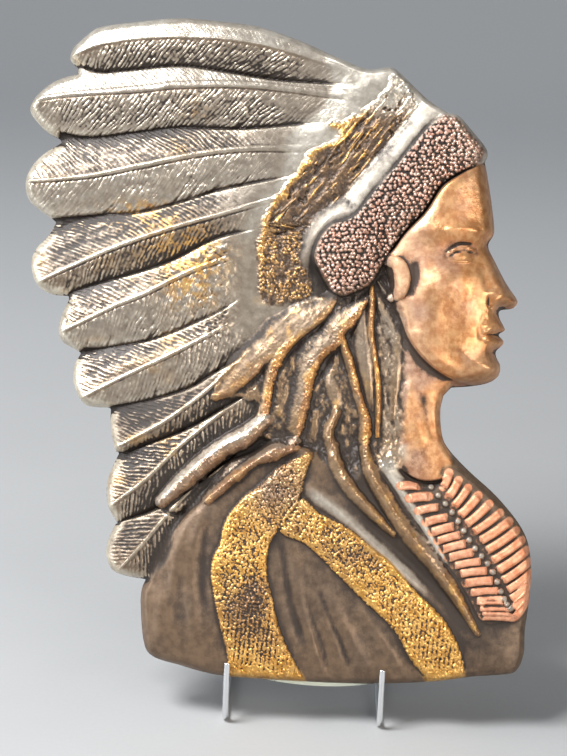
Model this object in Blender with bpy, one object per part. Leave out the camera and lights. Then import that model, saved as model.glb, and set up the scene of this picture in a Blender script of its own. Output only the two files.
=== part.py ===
"""Shaped relief wall plaque, a head in a feather bonnet in profile, standing on a wire easel.
Metres, +Z up, the viewer towards -Y. The plaque leans back on the easel. The bottom centre of the whole is the origin."""
import math

import bmesh
import bpy
import numpy as np
from mathutils import Vector
from mathutils.geometry import delaunay_2d_cdt

for ob in list(bpy.data.objects):
    bpy.data.objects.remove(ob, do_unlink=True)

# ---------------------------------------------------------------- driving sizes
UNIT = 0.0006            # one drawing unit, m
LEAN = math.radians(15)  # the plaque leans back
ROLL_IN = math.radians(2.6)  # the drawing is turned this much so that both seats are level
FOOT_X, FOOT_Y = 304.0, 680.0  # the point of the drawing between the two seats
SEAT_Z = 0.0240          # height of the plaque's lowest back edge over the table
SHIFT_X, SHIFT_Y = 0.02348, -0.04038  # puts the bottom centre of the whole at the origin
RIM = 4.6                # thickness at the very edge, mm
LIP, LIP_FROM, LIP_TO, LIP_DROP = 3.2, 262.0, 374.0, 4.6  # bare casting lip under the hem: mm thick, from, to, drop
GRID = 3.0               # carving grid, drawing units
FRONT_FACES = 7200       # triangles kept on the plaque
WIRE = 0.0019            # wire radius
SPAN = 0.0462            # half the spacing of the two wire sides
PRONG_Y, PRONG_TOP = -0.0194, 0.0395
BEND = 0.010
REAR_Y = 0.098
REST_V = 0.112           # how far up the back the rests reach
AIR = 0.0005
REST_LEFT, REST_RIGHT = (115.0, 452.6), (450.0, 448.0)  # ends of the line over the rests, on the outline


# ---------------------------------------------------------------- drawing tools
def curve(points, n=10, closed=False):
    """Catmull-Rom curve through the control points, n steps a span."""
    P = np.asarray(points, float)
    P = np.vstack([P[-1:], P, P[:2]]) if closed else np.vstack([2 * P[:1] - P[1:2], P, 2 * P[-1:] - P[-2:-1]])
    t = np.linspace(0, 1, n, endpoint=False)[:, None]
    out = []
    for a, b, c, d in zip(P[:-3], P[1:-2], P[2:-1], P[3:]):
        out.append(0.5 * (2 * b + (c - a) * t + (2 * a - 5 * b + 4 * c - d) * t * t + (3 * b - a - 3 * c + d) * t ** 3))
    if not closed:
        out.append(P[-2:-1])
    return np.vstack(out)


def smooth(a, b, x):
    t = np.clip((x - a) / (b - a), 0, 1)
    return t * t * (3 - 2 * t)


class Sheet:
    """A height field over the drawing, x to the right and y down in drawing units, heights in millimetres."""

    def __init__(self, x0, y0, x1, y1, step):
        self.x0, self.y0, self.step = x0, y0, step
        xs = np.arange(x0, x1 + step / 2, step, dtype=np.float32)
        ys = np.arange(y0, y1 + step / 2, step, dtype=np.float32)
        self.X, self.Y = np.meshgrid(xs, ys)
        self.shape = self.X.shape

    def window(self, P, pad):
        P = np.asarray(P)
        lo, hi = P[:, :2].min(0) - pad, P[:, :2].max(0) + pad
        i0 = max(0, int((lo[1] - self.y0) / self.step)); i1 = min(self.shape[0], int((hi[1] - self.y0) / self.step) + 2)
        j0 = max(0, int((lo[0] - self.x0) / self.step)); j1 = min(self.shape[1], int((hi[0] - self.x0) / self.step) + 2)
        return slice(i0, i1), slice(j0, j1)

    def inside(self, P, pad=10, far=-60.0):
        """Signed distance to a closed outline, positive inside. Points beyond the pad get `far`."""
        w = self.window(P, pad)
        X, Y = self.X[w], self.Y[w]
        best = np.full(X.shape, 1e9, np.float32)
        odd = np.zeros(X.shape, bool)
        Q = np.roll(P, -1, 0)
        for (ax, ay), (bx, by) in zip(P.astype(np.float32), Q.astype(np.float32)):
            dx, dy = bx - ax, by - ay
            l2 = dx * dx + dy * dy
            if l2 < 1e-9:
                continue
            px, py = X - ax, Y - ay
            t = np.clip((px * dx + py * dy) / l2, 0, 1)
            best = np.minimum(best, (px - t * dx) ** 2 + (py - t * dy) ** 2)
            if dy != 0:
                rows = (Y[:, 0] >= min(ay, by)) & (Y[:, 0] < max(ay, by))
                odd[rows] ^= X[rows] < ax + (Y[rows] - ay) * (dx / dy)
        d = np.sqrt(best)
        out = np.full(self.shape, far, np.float32)
        out[w] = np.where(odd, d, -d)
        return out

    def along(self, P, pad):
        """Window, arc length from the start and signed distance (positive to the left of a leftward curve: above) to an open curve, and its length."""
        w = self.window(P, pad)
        X, Y = self.X[w], self.Y[w]
        best = np.full(X.shape, 1e9, np.float32)
        s = np.zeros(X.shape, np.float32)
        side = np.zeros(X.shape, np.float32)
        run = 0.0
        P = P.astype(np.float32)
        for (ax, ay), (bx, by) in zip(P[:-1], P[1:]):
            dx, dy = bx - ax, by - ay
            l2 = dx * dx + dy * dy
            if l2 < 1e-9:
                continue
            length = math.sqrt(l2)
            px, py = X - ax, Y - ay
            t = np.clip((px * dx + py * dy) / l2, 0, 1)
            d2 = (px - t * dx) ** 2 + (py - t * dy) ** 2
            near = d2 < best
            best = np.where(near, d2, best)
            s = np.where(near, run + t * length, s)
            side = np.where(near, dx * py - dy * px, side)
            run += length
        return w, s, np.sqrt(best) * np.sign(side), run


def stations(values, n=64):
    """A smooth table through evenly spaced station values."""
    v = curve(np.c_[np.linspace(0, 1, len(values)), values], 12)
    return np.interp(np.linspace(0, 1, n), v[:, 0], v[:, 1])


def at(table, t):
    return np.interp(t, np.linspace(0, 1, len(table)), table).astype(np.float32)
# ---------------------------------------------------------------- the drawing, in drawing units of 0.6 mm
FEATHERS = [   # tip outline from the upper notch round to the lower notch; lower edge; rachis; each from tip to root
    dict(tip=[(84, 36), (73, 47), (69.5, 56), (71.5, 62), (77.5, 67.5)], low=[(81, 67), (100, 73), (130, 71), (180, 67), (230, 74), (280, 82), (338, 86)],
         shaft=[(76, 58), (100, 46), (140, 40), (200, 39), (260, 46), (320, 63), (342, 71)]),
    dict(tip=[(77, 73), (59, 78.3), (44.3, 87), (33, 99), (30, 112), (44.3, 129.7), (59, 138.8)], low=[(60, 132), (90, 137), (140, 132), (180, 128), (240, 130), (310, 125)],
         shaft=[(36, 108), (80, 98), (140, 94), (200, 90), (260, 92.5), (330, 101)]),
    dict(tip=[(61, 142), (41.4, 154.6), (29, 169), (24.5, 185.4), (30, 202), (50, 217.7)], low=[(55, 218), (95, 215), (140, 213), (180, 203), (215, 192), (265, 182)],
         shaft=[(30, 181), (80, 178), (140, 167), (200, 155), (250, 150), (286, 150)]),
    dict(tip=[(55.5, 222), (48, 234.5), (35, 249), (30.3, 264.5), (36, 284), (50, 293.7), (67.7, 296)], low=[(70, 292), (100, 283), (145, 271), (175, 260), (215, 240), (256, 230)],
         shaft=[(38, 282), (60, 272), (120, 246), (180, 226), (220, 215), (256, 205)]),
    dict(tip=[(68.4, 299), (60.5, 316), (57.8, 329), (61, 341), (78.7, 351.8)], low=[(84, 348), (110, 347), (155, 339), (200, 321), (225, 309), (246, 294)],
         shaft=[(64, 331), (100, 313), (145, 294), (190, 272), (240, 255)]),
    dict(tip=[(80, 353.3), (73.5, 366), (73.5, 385), (84.5, 404.6), (109.5, 408.3)], low=[(112, 406), (150, 400.5), (190, 388), (220, 370), (256, 348)],
         shaft=[(84, 397), (125, 376), (170, 355), (215, 332), (262, 308)]),
    dict(tip=[(110.2, 409.6), (109.8, 417), (110, 428), (112, 440), (115, 452.6)], low=[(122, 453), (160, 440), (190, 428), (225, 408)],
         shaft=[(112, 449), (140, 435), (170, 418), (205, 392), (225, 372)]),
    dict(tip=[(119, 452), (109, 474), (106, 490), (108, 508), (117, 523.7)], low=[(124, 520), (150, 512), (180, 496), (215, 470)],
         shaft=[(112, 504), (140, 484), (180, 446), (222, 412), (250, 390)]),
    dict(tip=[(115, 524), (107.6, 540), (105.8, 556), (112, 570.7), (126, 576.5), (145, 580)], low=[(152, 578), (166, 556), (182, 520), (200, 500)],
         shaft=[(120, 572), (140, 545), (160, 520), (190, 490)]),
]
TOP = [(84, 36), (100, 26), (140, 20.4), (180, 17), (220, 20.3), (260, 26), (300, 39.5), (332, 54), (367, 68.5), (391, 67), (405, 77), (429, 100), (448, 113)]
BROWBAND = [(448, 113), (459, 116), (473, 131), (488, 151), (485, 164)]
# the face is a general one: hairline, brow, nose base and chin a third of the face apart, everything else a share of that third
THIRD, HAIRLINE, FRONT = 71.0, 168.0, 487.0
PROFILE = [(0.0, 0.0), (5, 0.45), (8, 0.82), (7, 0.95), (2, 1.10), (9, 1.32), (20, 1.62), (30, 1.83), (31, 1.91), (26, 1.98), (14, 2.01), (13, 2.10), (17.5, 2.23),
           (18.5, 2.29), (12.5, 2.35), (17, 2.43), (16.5, 2.49), (10, 2.58), (10, 2.66), (14, 2.79), (12, 2.93), (2, 3.03), (-16, 3.08), (-38, 3.10)]
FACE = [(FRONT + a, HAIRLINE + THIRD * b) for a, b in PROFILE]
CHEST = [(444, 396), (441, 412), (443, 436), (450, 450), (468.6, 470), (500, 499.3), (525, 533), (532, 565), (530, 600), (525.8, 631), (524.5, 655), (516, 672.4), (498, 676.2)]
HEM = [(473, 677.5), (418, 683.4), (350, 684), (277, 680.4), (218, 676), (178, 665.7), (152, 657), (143, 642), (140, 606), (141, 590), (145, 580)]
BAND_TOP = [(450, 112), (432, 124), (415, 143), (392, 171), (372, 194), (358, 216)]
BAND_LOW = [(486, 162), (460, 175), (440, 189), (424, 213), (404, 234), (391, 252), (380, 262)]


def outline(n):
    """The whole edge, notch to notch."""
    parts = [curve(f["tip"], n) for f in FEATHERS]
    top, face, chest, hem = curve(TOP, n), curve(FACE, n), curve(CHEST, n), curve(HEM, n)
    ring = [top[:-1], curve(BROWBAND, n)[:-1], face[:-1], chest[:-1], hem[:-1]]
    for p in parts[::-1]:
        ring.append(p[::-1])
    return np.vstack(ring)


def clean_ring(P, gap):
    """Even steps round a closed outline."""
    Q = np.vstack([P, P[:1]])
    s = np.r_[0, np.cumsum(np.hypot(*np.diff(Q, axis=0).T))]
    m = int(round(s[-1] / gap))
    t = np.linspace(0, s[-1], m, endpoint=False)
    return np.c_[np.interp(t, s, Q[:, 0]), np.interp(t, s, Q[:, 1])]



CROWN = [(332, 50), (367, 60), (391, 58), (410, 70), (440, 98), (456, 112), (430, 134), (400, 170), (372, 205), (330, 226), (314, 250), (316, 300), (300, 335), (262, 348),
         (236, 330), (232, 290), (238, 245), (255, 212), (278, 190), (290, 165), (292, 140), (325, 112), (338, 86)]
WEAVE = [(355, 113), (345, 124), (330, 127), (338, 143), (310, 156), (300, 178), (280, 197), (264, 216), (261, 255), (263, 299), (308, 296), (305, 268), (300, 240), (304, 224),
         (330, 206), (350, 196), (362, 180), (371, 160), (386, 147), (402, 129), (406, 114), (380, 106)]
ROLL = [(446, 108), (420, 129), (404, 143), (392, 159), (379, 177), (366, 198), (354, 212), (338, 218), (324, 228)]
GROOVE = [(418, 120), (390, 147), (366, 170), (350, 191), (330, 207), (310, 219), (301, 236)]
ROSETTE = [(357, 214), (345, 222), (331, 226), (319, 240), (314, 258), (320, 274), (330, 291), (341, 297), (355, 293), (369, 286), (377, 275), (384, 262), (392, 250), (380, 225)]
JAW = [(383, 258), (392, 300), (402, 330), (418, 355), (440, 374), (465, 384), (490, 391), (540, 396), (540, 150), (486, 161), (460, 174), (440, 188), (424, 212), (404, 233), (391, 251)]
NECK = [(385, 290), (384, 445), (396, 466), (415, 479), (436, 480), (452, 470), (447, 440), (446, 412), (460, 392), (480, 380), (440, 360), (410, 320)]
ROBE = [(144, 585), (158, 556), (182, 516), (226, 478), (280, 440), (340, 424), (384, 440), (398, 466), (416, 480), (438, 481), (456, 462), (600, 455), (600, 760), (110, 760), (110, 600)]
BAND_LEFT = [(225, 520), (220, 541), (213, 556), (211, 574), (214, 597), (219, 620), (226, 646), (240, 682), (302, 684), (294, 658), (285, 639), (277, 615), (273, 595), (268, 573),
             (268, 554), (273, 537), (279, 529), (300, 497), (304, 480), (313, 453), (300, 455), (278, 466), (262, 482), (242, 497)]
BAND_RIGHT = [(300, 497), (320, 512), (339, 521), (355, 532), (370, 545), (389, 560), (412, 586), (437, 610), (448, 625), (456, 640), (462, 658), (461, 673), (452, 690), (432, 690),
              (421, 672), (412, 662), (403, 646), (392, 628), (380, 615), (365, 602), (349, 586), (336, 573), (318, 555), (303, 542), (279, 529)]
PLATE = [(396, 478), (425, 474), (446, 466), (470, 478), (500, 503), (531, 545), (536, 575), (532, 612), (520, 622), (476, 622), (452, 580), (428, 535), (408, 503)]
STRANDS = [   # centre line, half widths, heights in mm, seat in mm; the lowest first
    ([(338, 303), (308, 304), (292, 325), (270, 344), (245, 364), (225, 381), (214, 396)], (7, 12, 15, 14, 12, 8, 4), (6, 6.5, 6, 5, 4.5, 3.5, 2), 17.5),
    ([(300, 334), (281, 357), (271, 378), (266, 400), (265, 426)], (8, 9, 6, 4, 3), (5.5, 5, 4, 3.5, 3), 18),
    ([(262, 362), (254, 376), (240, 387), (226, 396)], (5, 5, 4, 3), (5, 4, 3, 2), 18),
    ([(340, 308), (330, 325), (322, 342), (312, 362), (303, 385), (297, 405), (299, 432)], (7, 13, 13, 9, 8, 8, 4), (5, 6.5, 6.5, 6, 5, 4.5, 2.5), 19),
    ([(344, 336), (348, 364), (356, 396), (366, 425), (368, 452)], (6, 9, 9, 8, 6), (5, 5, 5, 4.5, 3), 20),
    ([(322, 356), (333, 378), (338, 405), (335, 440), (346, 478), (368, 506), (391, 532)], (5, 5, 4.5, 4.5, 4.5, 4.5, 3), (3, 4, 4, 4, 4, 3.5, 2), 19.5),
    ([(368, 292), (374, 322), (373, 350), (376, 385), (379, 432)], (3, 3.5, 4.5, 3.5, 3), (3, 4, 4, 4, 2), 21),
    ([(362, 452), (372, 478), (391, 506), (406, 532), (436, 566), (458, 600), (476, 630)], (3, 5, 6, 6, 6, 5, 3), (2, 4, 4.5, 4.5, 4, 4, 2), 20),
    ([(264, 430), (246, 440), (222, 452), (204, 467), (184, 487), (161, 504)], (7, 9, 8, 8, 9, 4), (5, 6, 6, 6, 5.5, 3), 16.5),
    ([(296, 444), (268, 460), (238, 474), (222, 489), (206, 500)], (4, 7, 8, 8, 4), (4, 5.5, 5.5, 5, 3), 18),
]
FOLDS = [   # robe ridges: centre line, half widths, heights in mm
    ([(296, 478), (321, 497), (358, 530), (396, 566), (432, 598)], (6, 9, 9, 9, 5), (2, 3, 3, 3, 1.5)),
    ([(182, 520), (178, 560), (164, 600), (158, 650)], (8, 12, 10, 6), (1.5, 2.4, 2.2, 1)),
    ([(205, 512), (196, 535), (188, 580), (196, 650)], (6, 9, 9, 6), (1.5, 2.6, 2.0, 1)),
    ([(300, 560), (306, 596), (316, 632), (330, 672)], (5, 8, 9, 8), (1, 1.8, 2.0, 1)),
    ([(330, 580), (342, 610), (358, 640), (380, 674)], (5, 8, 9, 8), (1, 1.8, 2.0, 1)),
]
HOLLOWS = [   # centre line, spread, depth in mm
    (GROOVE, 6.5, 3.4),
    ([(360, 520), (390, 545), (420, 574), (446, 600), (468, 640)], 9, 4.0),
    ([(303, 590), (311, 618), (322, 648), (334, 680)], 4.5, 1.8),
    ([(279, 531), (284, 560), (290, 600), (306, 650)], 5, 1.6),
    ([(152, 578), (166, 552), (184, 516), (214, 492)], 5, 2.4),
    ([(392, 440), (404, 472), (425, 486), (450, 480)], 5, 2.0),
]


def relief(S, ring, bend=6):
    """Larger carving: height of the front over the flat back, in millimetres."""
    X, Y = S.X, S.Y
    edge = S.inside(ring, 400)

    def lay(H, poly, level, soft=1.3, roll=0.0, reach=5.0):
        sd = S.inside(curve(poly, bend, True), 8)
        if roll:
            level = level - roll * (1 - np.sqrt(np.clip(1 - (1 - np.clip(sd, 0, reach) / reach) ** 2, 0, 1)))
        return H + (level - H) * smooth(-soft, soft, sd)

    def ridge(H, pts, wide, high, seat=None):
        P = curve(pts, bend)
        wide, high = stations(wide), stations(high)
        w, s, d, run = S.along(P, float(max(wide)) + 4)
        t = s / run
        q = np.clip(1 - (d / at(wide, t)) ** 2, 0, 1)
        here = H[w]
        base = here if seat is None else np.maximum(here, seat - 2.0)
        H = H.copy()
        H[w] = np.where(q > 0, here + (base + at(high, t) * np.sqrt(q) - here) * smooth(0, 0.22, q), here)
        return H

    def dent(H, pts, spread, deep):
        w, s, d, run = S.along(curve(pts, bend), 3 * spread)
        t = s / run
        H = H.copy()
        H[w] -= deep * np.exp(-(d / spread) ** 2) * smooth(0, 0.12, t) * smooth(0, 0.12, 1 - t)
        return H

    def swell(H, x, y, rx, ry, high, turn=0.0):
        c, s = math.cos(math.radians(turn)), math.sin(math.radians(turn))
        a, b = (X - x) * c + (Y - y) * s, (Y - y) * c - (X - x) * s
        return H + high * np.exp(-(a / rx) ** 2 - (b / ry) ** 2)

    # feathers, the lowest first, each laid over the next
    H = np.full(S.shape, 10.0, np.float32)
    for k in range(len(FEATHERS) - 1, -1, -1):
        f = FEATHERS[k]
        tip, low, shaft = curve(f["tip"], bend), curve(f["low"], bend), curve(f["shaft"], bend)
        above = curve(FEATHERS[k - 1]["shaft"], bend) if k else curve([(60, 5), (200, -20), (345, 20), (350, 60)], bend)
        sd = S.inside(np.vstack([tip, low, above[::-1]]), 6)
        w, s, d, run = S.along(shaft, 120)
        t, n = np.zeros(S.shape, np.float32), np.full(S.shape, 90.0, np.float32)
        t[w], n[w] = s / run, d
        up, down = np.clip(-n, 0, 60), np.clip(n, 0, 60)
        level = 14.8 + 2.4 * smooth(0.0, 0.75, t) - 4.6 * (up / 34.0) ** 1.25 - 2.6 * (down / 30.0) ** 1.15 + 0.9 * np.exp(-(n / 3.2) ** 2)
        level = level - 1.8 * (1 - smooth(0, 5.0, sd))
        H = H + (level - H) * smooth(-1.1, 1.1, sd)

    # crown, its woven band, the roll and the beaded headband
    H = lay(H, CROWN, 17.0 + 3.6 * smooth(240, 420, X), 4.0)
    H = swell(H, 388, 84, 22, 15, 2.6)
    H = lay(H, WEAVE, 19.6 + 2.4 * smooth(260, 400, X), 3.0, 1.5, 7.0)
    H = ridge(H, ROLL, (7, 8.5, 8.5, 8.5, 8.5, 8, 5), (2.5, 4.2, 4.4, 4.4, 4.4, 4, 2))

    # neck, shoulders, chest
    H = lay(H, NECK, 14.5 + 7.5 * np.sqrt(np.clip(1 - (1 - np.clip(edge, 0, 34) / 34) ** 2, 0, 1)), 2.0)
    body = 13.5 + 9.5 * np.sqrt(np.clip(1 - (1 - np.clip(edge, 0, 90) / 90) ** 2, 0, 1)) - 2.5 * smooth(250, 150, X)
    H = lay(H, ROBE, body, 2.0)
    for pts, wide, high in FOLDS:
        H = ridge(H, pts, wide, high)
    for pts, spread, deep in HOLLOWS:
        H = dent(H, pts, spread, deep)
    H = lay(H, BAND_LEFT, H + 1.7, 1.6)
    H = lay(H, BAND_RIGHT, H + 1.7, 1.6)
    H = lay(H, PLATE, H + 1.6, 1.8)

    # the head: a plain dome back from the profile, then general features set out in thirds
    dome = 15.0 + 17.0 * np.sqrt(np.clip(1 - (1 - np.clip(edge, 0, 52) / 52) ** 2, 0, 1)) - 4.5 * smooth(440, 385, X)
    H = lay(H, JAW, dome, 2.4, 3.0, 12.0)
    brow, nose_base, chin = HAIRLINE + THIRD, HAIRLINE + 2 * THIRD, HAIRLINE + 3 * THIRD
    eye = (FRONT - 24, brow + 0.22 * THIRD)
    H = swell(H, FRONT - 30, brow - 0.05 * THIRD, 30, 7, 2.2, 4)
    H = swell(H, eye[0], eye[1], 22, 11, -5.2, 6)
    H = swell(H, eye[0] + 1, eye[1] + 1, 10, 5.5, 3.4, 8)
    H = swell(H, FRONT - 42, brow + 0.62 * THIRD, 26, 14, 2.4, -14)
    H = swell(H, FRONT + 12, nose_base - 0.10 * THIRD, 8, 7, 3.2)
    H = swell(H, FRONT - 6, nose_base + 0.02 * THIRD, 5, 14, -1.6, -24)
    H = swell(H, FRONT + 3, nose_base + 0.30 * THIRD, 12, 3.2, 1.6)
    H = swell(H, FRONT + 3, nose_base + 0.46 * THIRD, 11, 3.4, 1.6)
    H = swell(H, FRONT + 2, nose_base + 0.375 * THIRD, 13, 1.8, -2.2)
    H = swell(H, FRONT - 2, nose_base + 0.78 * THIRD, 14, 12, 1.8)
    H = swell(H, FRONT - 30, nose_base + 0.35 * THIRD, 18, 20, -1.6)

    # hair and drops over the shoulder, the ear lobe, the headband over all
    for pts, wide, high, seat in STRANDS:
        H = ridge(H, pts, wide, high, seat)
    H = ridge(H, [(390, 258), (400, 270), (403, 286), (396, 298)], (5, 8, 8, 4), (3, 4, 4, 2), 24.0)
    head = BAND_TOP[:-1] + ROSETTE[:-1] + BAND_LOW[::-1][2:] + [(492, 150), (478, 130), (462, 112)]
    H = lay(H, head, 27.5 + 0 * X, 1.6, 6.0, 13.0)
    H = swell(H, 347, 256, 24, 26, 2.6)
    H = dent(H, [(378, 222), (383, 245), (376, 268)], 6, 2.4)

    # the rounded rim all round
    wide = 8.0 + 6.0 * smooth(440, 480, X) * smooth(470, 400, Y)
    q = np.clip(1 - (1 - np.clip(edge, 0, wide) / wide) ** 2, 0, 1) ** 0.5
    return RIM + (np.maximum(H, RIM + 1) - RIM) * q, edge


# ---------------------------------------------------------------- placing
def place(x, y, w):
    """Drawing position and height over the back (mm) to world metres."""
    dx, dy = x - FOOT_X, FOOT_Y - y
    u = UNIT * (dx * math.cos(ROLL_IN) - dy * math.sin(ROLL_IN))
    v = UNIT * (dy * math.cos(ROLL_IN) + dx * math.sin(ROLL_IN))
    return stand_point(u, v, 0.001 * w)


def stand_point(u, v, w):
    return (SHIFT_X + u, SHIFT_Y + v * math.sin(LEAN) - w * math.cos(LEAN), SEAT_Z + v * math.cos(LEAN) + w * math.sin(LEAN))


def collection(name):
    c = bpy.data.collections.new(name)
    bpy.context.scene.collection.children.link(c)
    return c


def material(name, colour, rough, metal):
    m = bpy.data.materials.new(name)
    m.use_nodes = True
    b = m.node_tree.nodes["Principled BSDF"]
    b.inputs["Base Color"].default_value = (*colour, 1)
    b.inputs["Roughness"].default_value = rough
    b.inputs["Metallic"].default_value = metal
    return m


main = collection("relief_plaque")


# ---------------------------------------------------------------- the plaque
def lipped(P):
    """The outline with the bare casting lip under the hem."""
    Q = P.copy()
    low = (Q[:, 1] > 640) & (Q[:, 0] > LIP_FROM) & (Q[:, 0] < LIP_TO)
    Q[low, 1] += LIP_DROP * np.sin(np.pi * (Q[low, 0] - LIP_FROM) / (LIP_TO - LIP_FROM)) ** 0.7
    return Q


painted = clean_ring(outline(6), 2.0)
sheet = Sheet(16, 8, 542, 694, GRID)
height, edge = relief(sheet, painted, 5)
height = np.where(edge < 0, LIP, height)

rim = lipped(clean_ring(outline(6), 5.0))
inner = sheet.inside(rim, 400)
keep = inner > 0.62 * GRID
px, py, pw = sheet.X[keep], sheet.Y[keep], height[keep]
n_rim = len(rim)
on_lip = (rim[:, 1] > 640) & (rim[:, 0] > LIP_FROM + 4) & (rim[:, 0] < LIP_TO - 4)
rim_w = np.where(on_lip, LIP, RIM)
flat = [Vector((float(a), float(b))) for a, b in rim] + [Vector((float(a), float(b))) for a, b in zip(px, py)]
verts2, _, tris, _, _, _ = delaunay_2d_cdt(flat, [], [list(range(n_rim))], 1, 1e-4)
assert len(verts2) == len(flat)
high = np.concatenate([rim_w, pw])

bm = bmesh.new()
front = [bm.verts.new(place(v[0], v[1], float(h))) for v, h in zip(verts2, high)]
for t in tris:
    bm.faces.new([front[i] for i in t])
back = [bm.verts.new(place(a, b, 0.0)) for a, b in rim]
for i in range(n_rim):
    j = (i + 1) % n_rim
    bm.faces.new([front[i], front[j], back[j], back[i]])
# the flat back in two fields: the lower one, where the easel's rests lie, and the free one over it
cut = sorted(int(np.argmin(((rim - p) ** 2).sum(1))) for p in (REST_LEFT, REST_RIGHT))
bm.faces.new(back[cut[0]:cut[1] + 1])
bm.faces.new(back[cut[1]:] + back[:cut[0] + 1])
bmesh.ops.triangulate(bm, faces=bm.faces[:])
bmesh.ops.recalc_face_normals(bm, faces=bm.faces[:])
me = bpy.data.meshes.new("plaque")
bm.to_mesh(me)
bm.free()
plaque = bpy.data.objects.new("plaque", me)
main.objects.link(plaque)
fewer = plaque.modifiers.new("fewer_faces", "DECIMATE")
fewer.ratio = FRONT_FACES / len(me.polygons)
me.materials.append(material("bronzed_casting", (0.16, 0.10, 0.06), 0.42, 0.55))
for p in me.polygons:
    p.use_smooth = True


# ---------------------------------------------------------------- the wire easel
def bent(points, radius, steps=4):
    """A path in the y, z plane with its corners rounded."""
    out = [Vector(points[0])]
    for a, b, c in zip(points[:-2], points[1:-1], points[2:]):
        a, b, c = Vector(a), Vector(b), Vector(c)
        p, q = (a - b).normalized(), (c - b).normalized()
        half = p.angle(q) / 2
        cut = radius / math.tan(half)
        centre = b + (p + q).normalized() * (radius / math.sin(half))
        start, end = b + p * cut, b + q * cut
        r0, r1 = start - centre, end - centre
        whole = r0.angle(r1)
        for k in range(steps + 1):
            t = k / steps
            out.append(centre + (r0 * math.sin((1 - t) * whole) + r1 * math.sin(t * whole)) / math.sin(whole))
    out.append(Vector(points[-1]))
    return out


chrome = material("chrome_wire", (0.78, 0.79, 0.80), 0.08, 1.0)


def wire(name, points):
    c = bpy.data.curves.new(name, "CURVE")
    c.dimensions = "3D"
    c.bevel_depth = WIRE
    c.bevel_resolution = 2
    c.use_fill_caps = True
    s = c.splines.new("POLY")
    s.points.add(len(points) - 1)
    for q, p in zip(s.points, points):
        q.co = (*p, 1)
    c.materials.append(chrome)
    o = bpy.data.objects.new(name, c)
    main.objects.link(o)
    return o


def side(v, w):
    """Up the plaque's back by v and out from it by w, in the y, z plane."""
    x, y, z = stand_point(0, v, w)
    return (0.0, y, z)


seat_v = -0.0006 - WIRE - AIR + 0.0005
rest_low, rest_top = side(seat_v, -0.0085), side(REST_V, -(WIRE + AIR))
rest_line = (Vector(rest_top) - Vector(rest_low)).normalized()
rest_join = Vector(rest_top) - rest_line * 0.008
rear = Vector((0, SHIFT_Y + REAR_Y, WIRE))
toward = (rear - rest_join).normalized()
leg_path = bent([(0, SHIFT_Y + PRONG_Y, PRONG_TOP), (0, SHIFT_Y + PRONG_Y, WIRE), tuple(rear), tuple(rest_join + toward * 0.0056)], BEND)
rest_path = bent([side(seat_v, 0.0162), rest_low, rest_top], 0.006)
for name, x in (("left", -SPAN), ("right", SPAN)):
    wire("easel_leg_" + name, [(SHIFT_X + x, p[1], p[2]) for p in leg_path])
    wire("easel_rest_" + name, [(SHIFT_X + x, p[1], p[2]) for p in rest_path])
reach = SPAN - WIRE - AIR
for name, at_point in (("easel_top_bar", rest_join - rest_line * 0.012), ("easel_rear_bar", Vector((0, SHIFT_Y + REAR_Y - 0.016, WIRE)))):
    wire(name, [(SHIFT_X + k * reach, at_point[1], at_point[2]) for k in (-1, 1)])
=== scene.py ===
import math

import bpy
import numpy as np
from mathutils import Matrix, Vector


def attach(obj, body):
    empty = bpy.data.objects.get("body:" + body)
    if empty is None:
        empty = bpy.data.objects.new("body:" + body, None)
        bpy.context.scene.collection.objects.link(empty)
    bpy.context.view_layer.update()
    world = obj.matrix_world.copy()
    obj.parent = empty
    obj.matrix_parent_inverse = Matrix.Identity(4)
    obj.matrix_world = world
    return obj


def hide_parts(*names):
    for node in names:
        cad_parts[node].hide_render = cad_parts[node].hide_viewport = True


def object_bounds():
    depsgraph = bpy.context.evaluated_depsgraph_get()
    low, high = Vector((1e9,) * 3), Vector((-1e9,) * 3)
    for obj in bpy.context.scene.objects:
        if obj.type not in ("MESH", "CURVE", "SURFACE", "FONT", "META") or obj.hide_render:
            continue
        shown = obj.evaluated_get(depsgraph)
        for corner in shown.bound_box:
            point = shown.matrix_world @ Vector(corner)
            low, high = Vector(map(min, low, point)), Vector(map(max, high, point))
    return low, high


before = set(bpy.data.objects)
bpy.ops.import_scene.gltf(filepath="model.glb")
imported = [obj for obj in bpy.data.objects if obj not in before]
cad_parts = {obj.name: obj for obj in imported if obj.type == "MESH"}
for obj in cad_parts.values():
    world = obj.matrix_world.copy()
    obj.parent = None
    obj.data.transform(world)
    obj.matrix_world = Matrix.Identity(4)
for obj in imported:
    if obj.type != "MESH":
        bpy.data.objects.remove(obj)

cad_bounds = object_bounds()

# ================================================================ sizes shared with the solid
UNIT = 0.0006
LEAN = math.radians(15)
ROLL_IN = math.radians(2.6)
FOOT_X, FOOT_Y = 304.0, 680.0
SEAT_Z = 0.0240
SHIFT_X, SHIFT_Y = 0.02348, -0.04038
RIM = 4.6
LIP, LIP_FROM, LIP_TO, LIP_DROP = 3.2, 262.0, 374.0, 4.6
WIRE = 0.0019
SPAN = 0.0462
PRONG_Y, PRONG_TOP = -0.0194, 0.0395
BEND = 0.010
REAR_Y = 0.098
REST_V = 0.112
AIR = 0.0005
STEP = 0.75      # carving grid, drawing units of 0.6 mm
COARSE = 4         # distances are worked out on every so many grid lines


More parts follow.
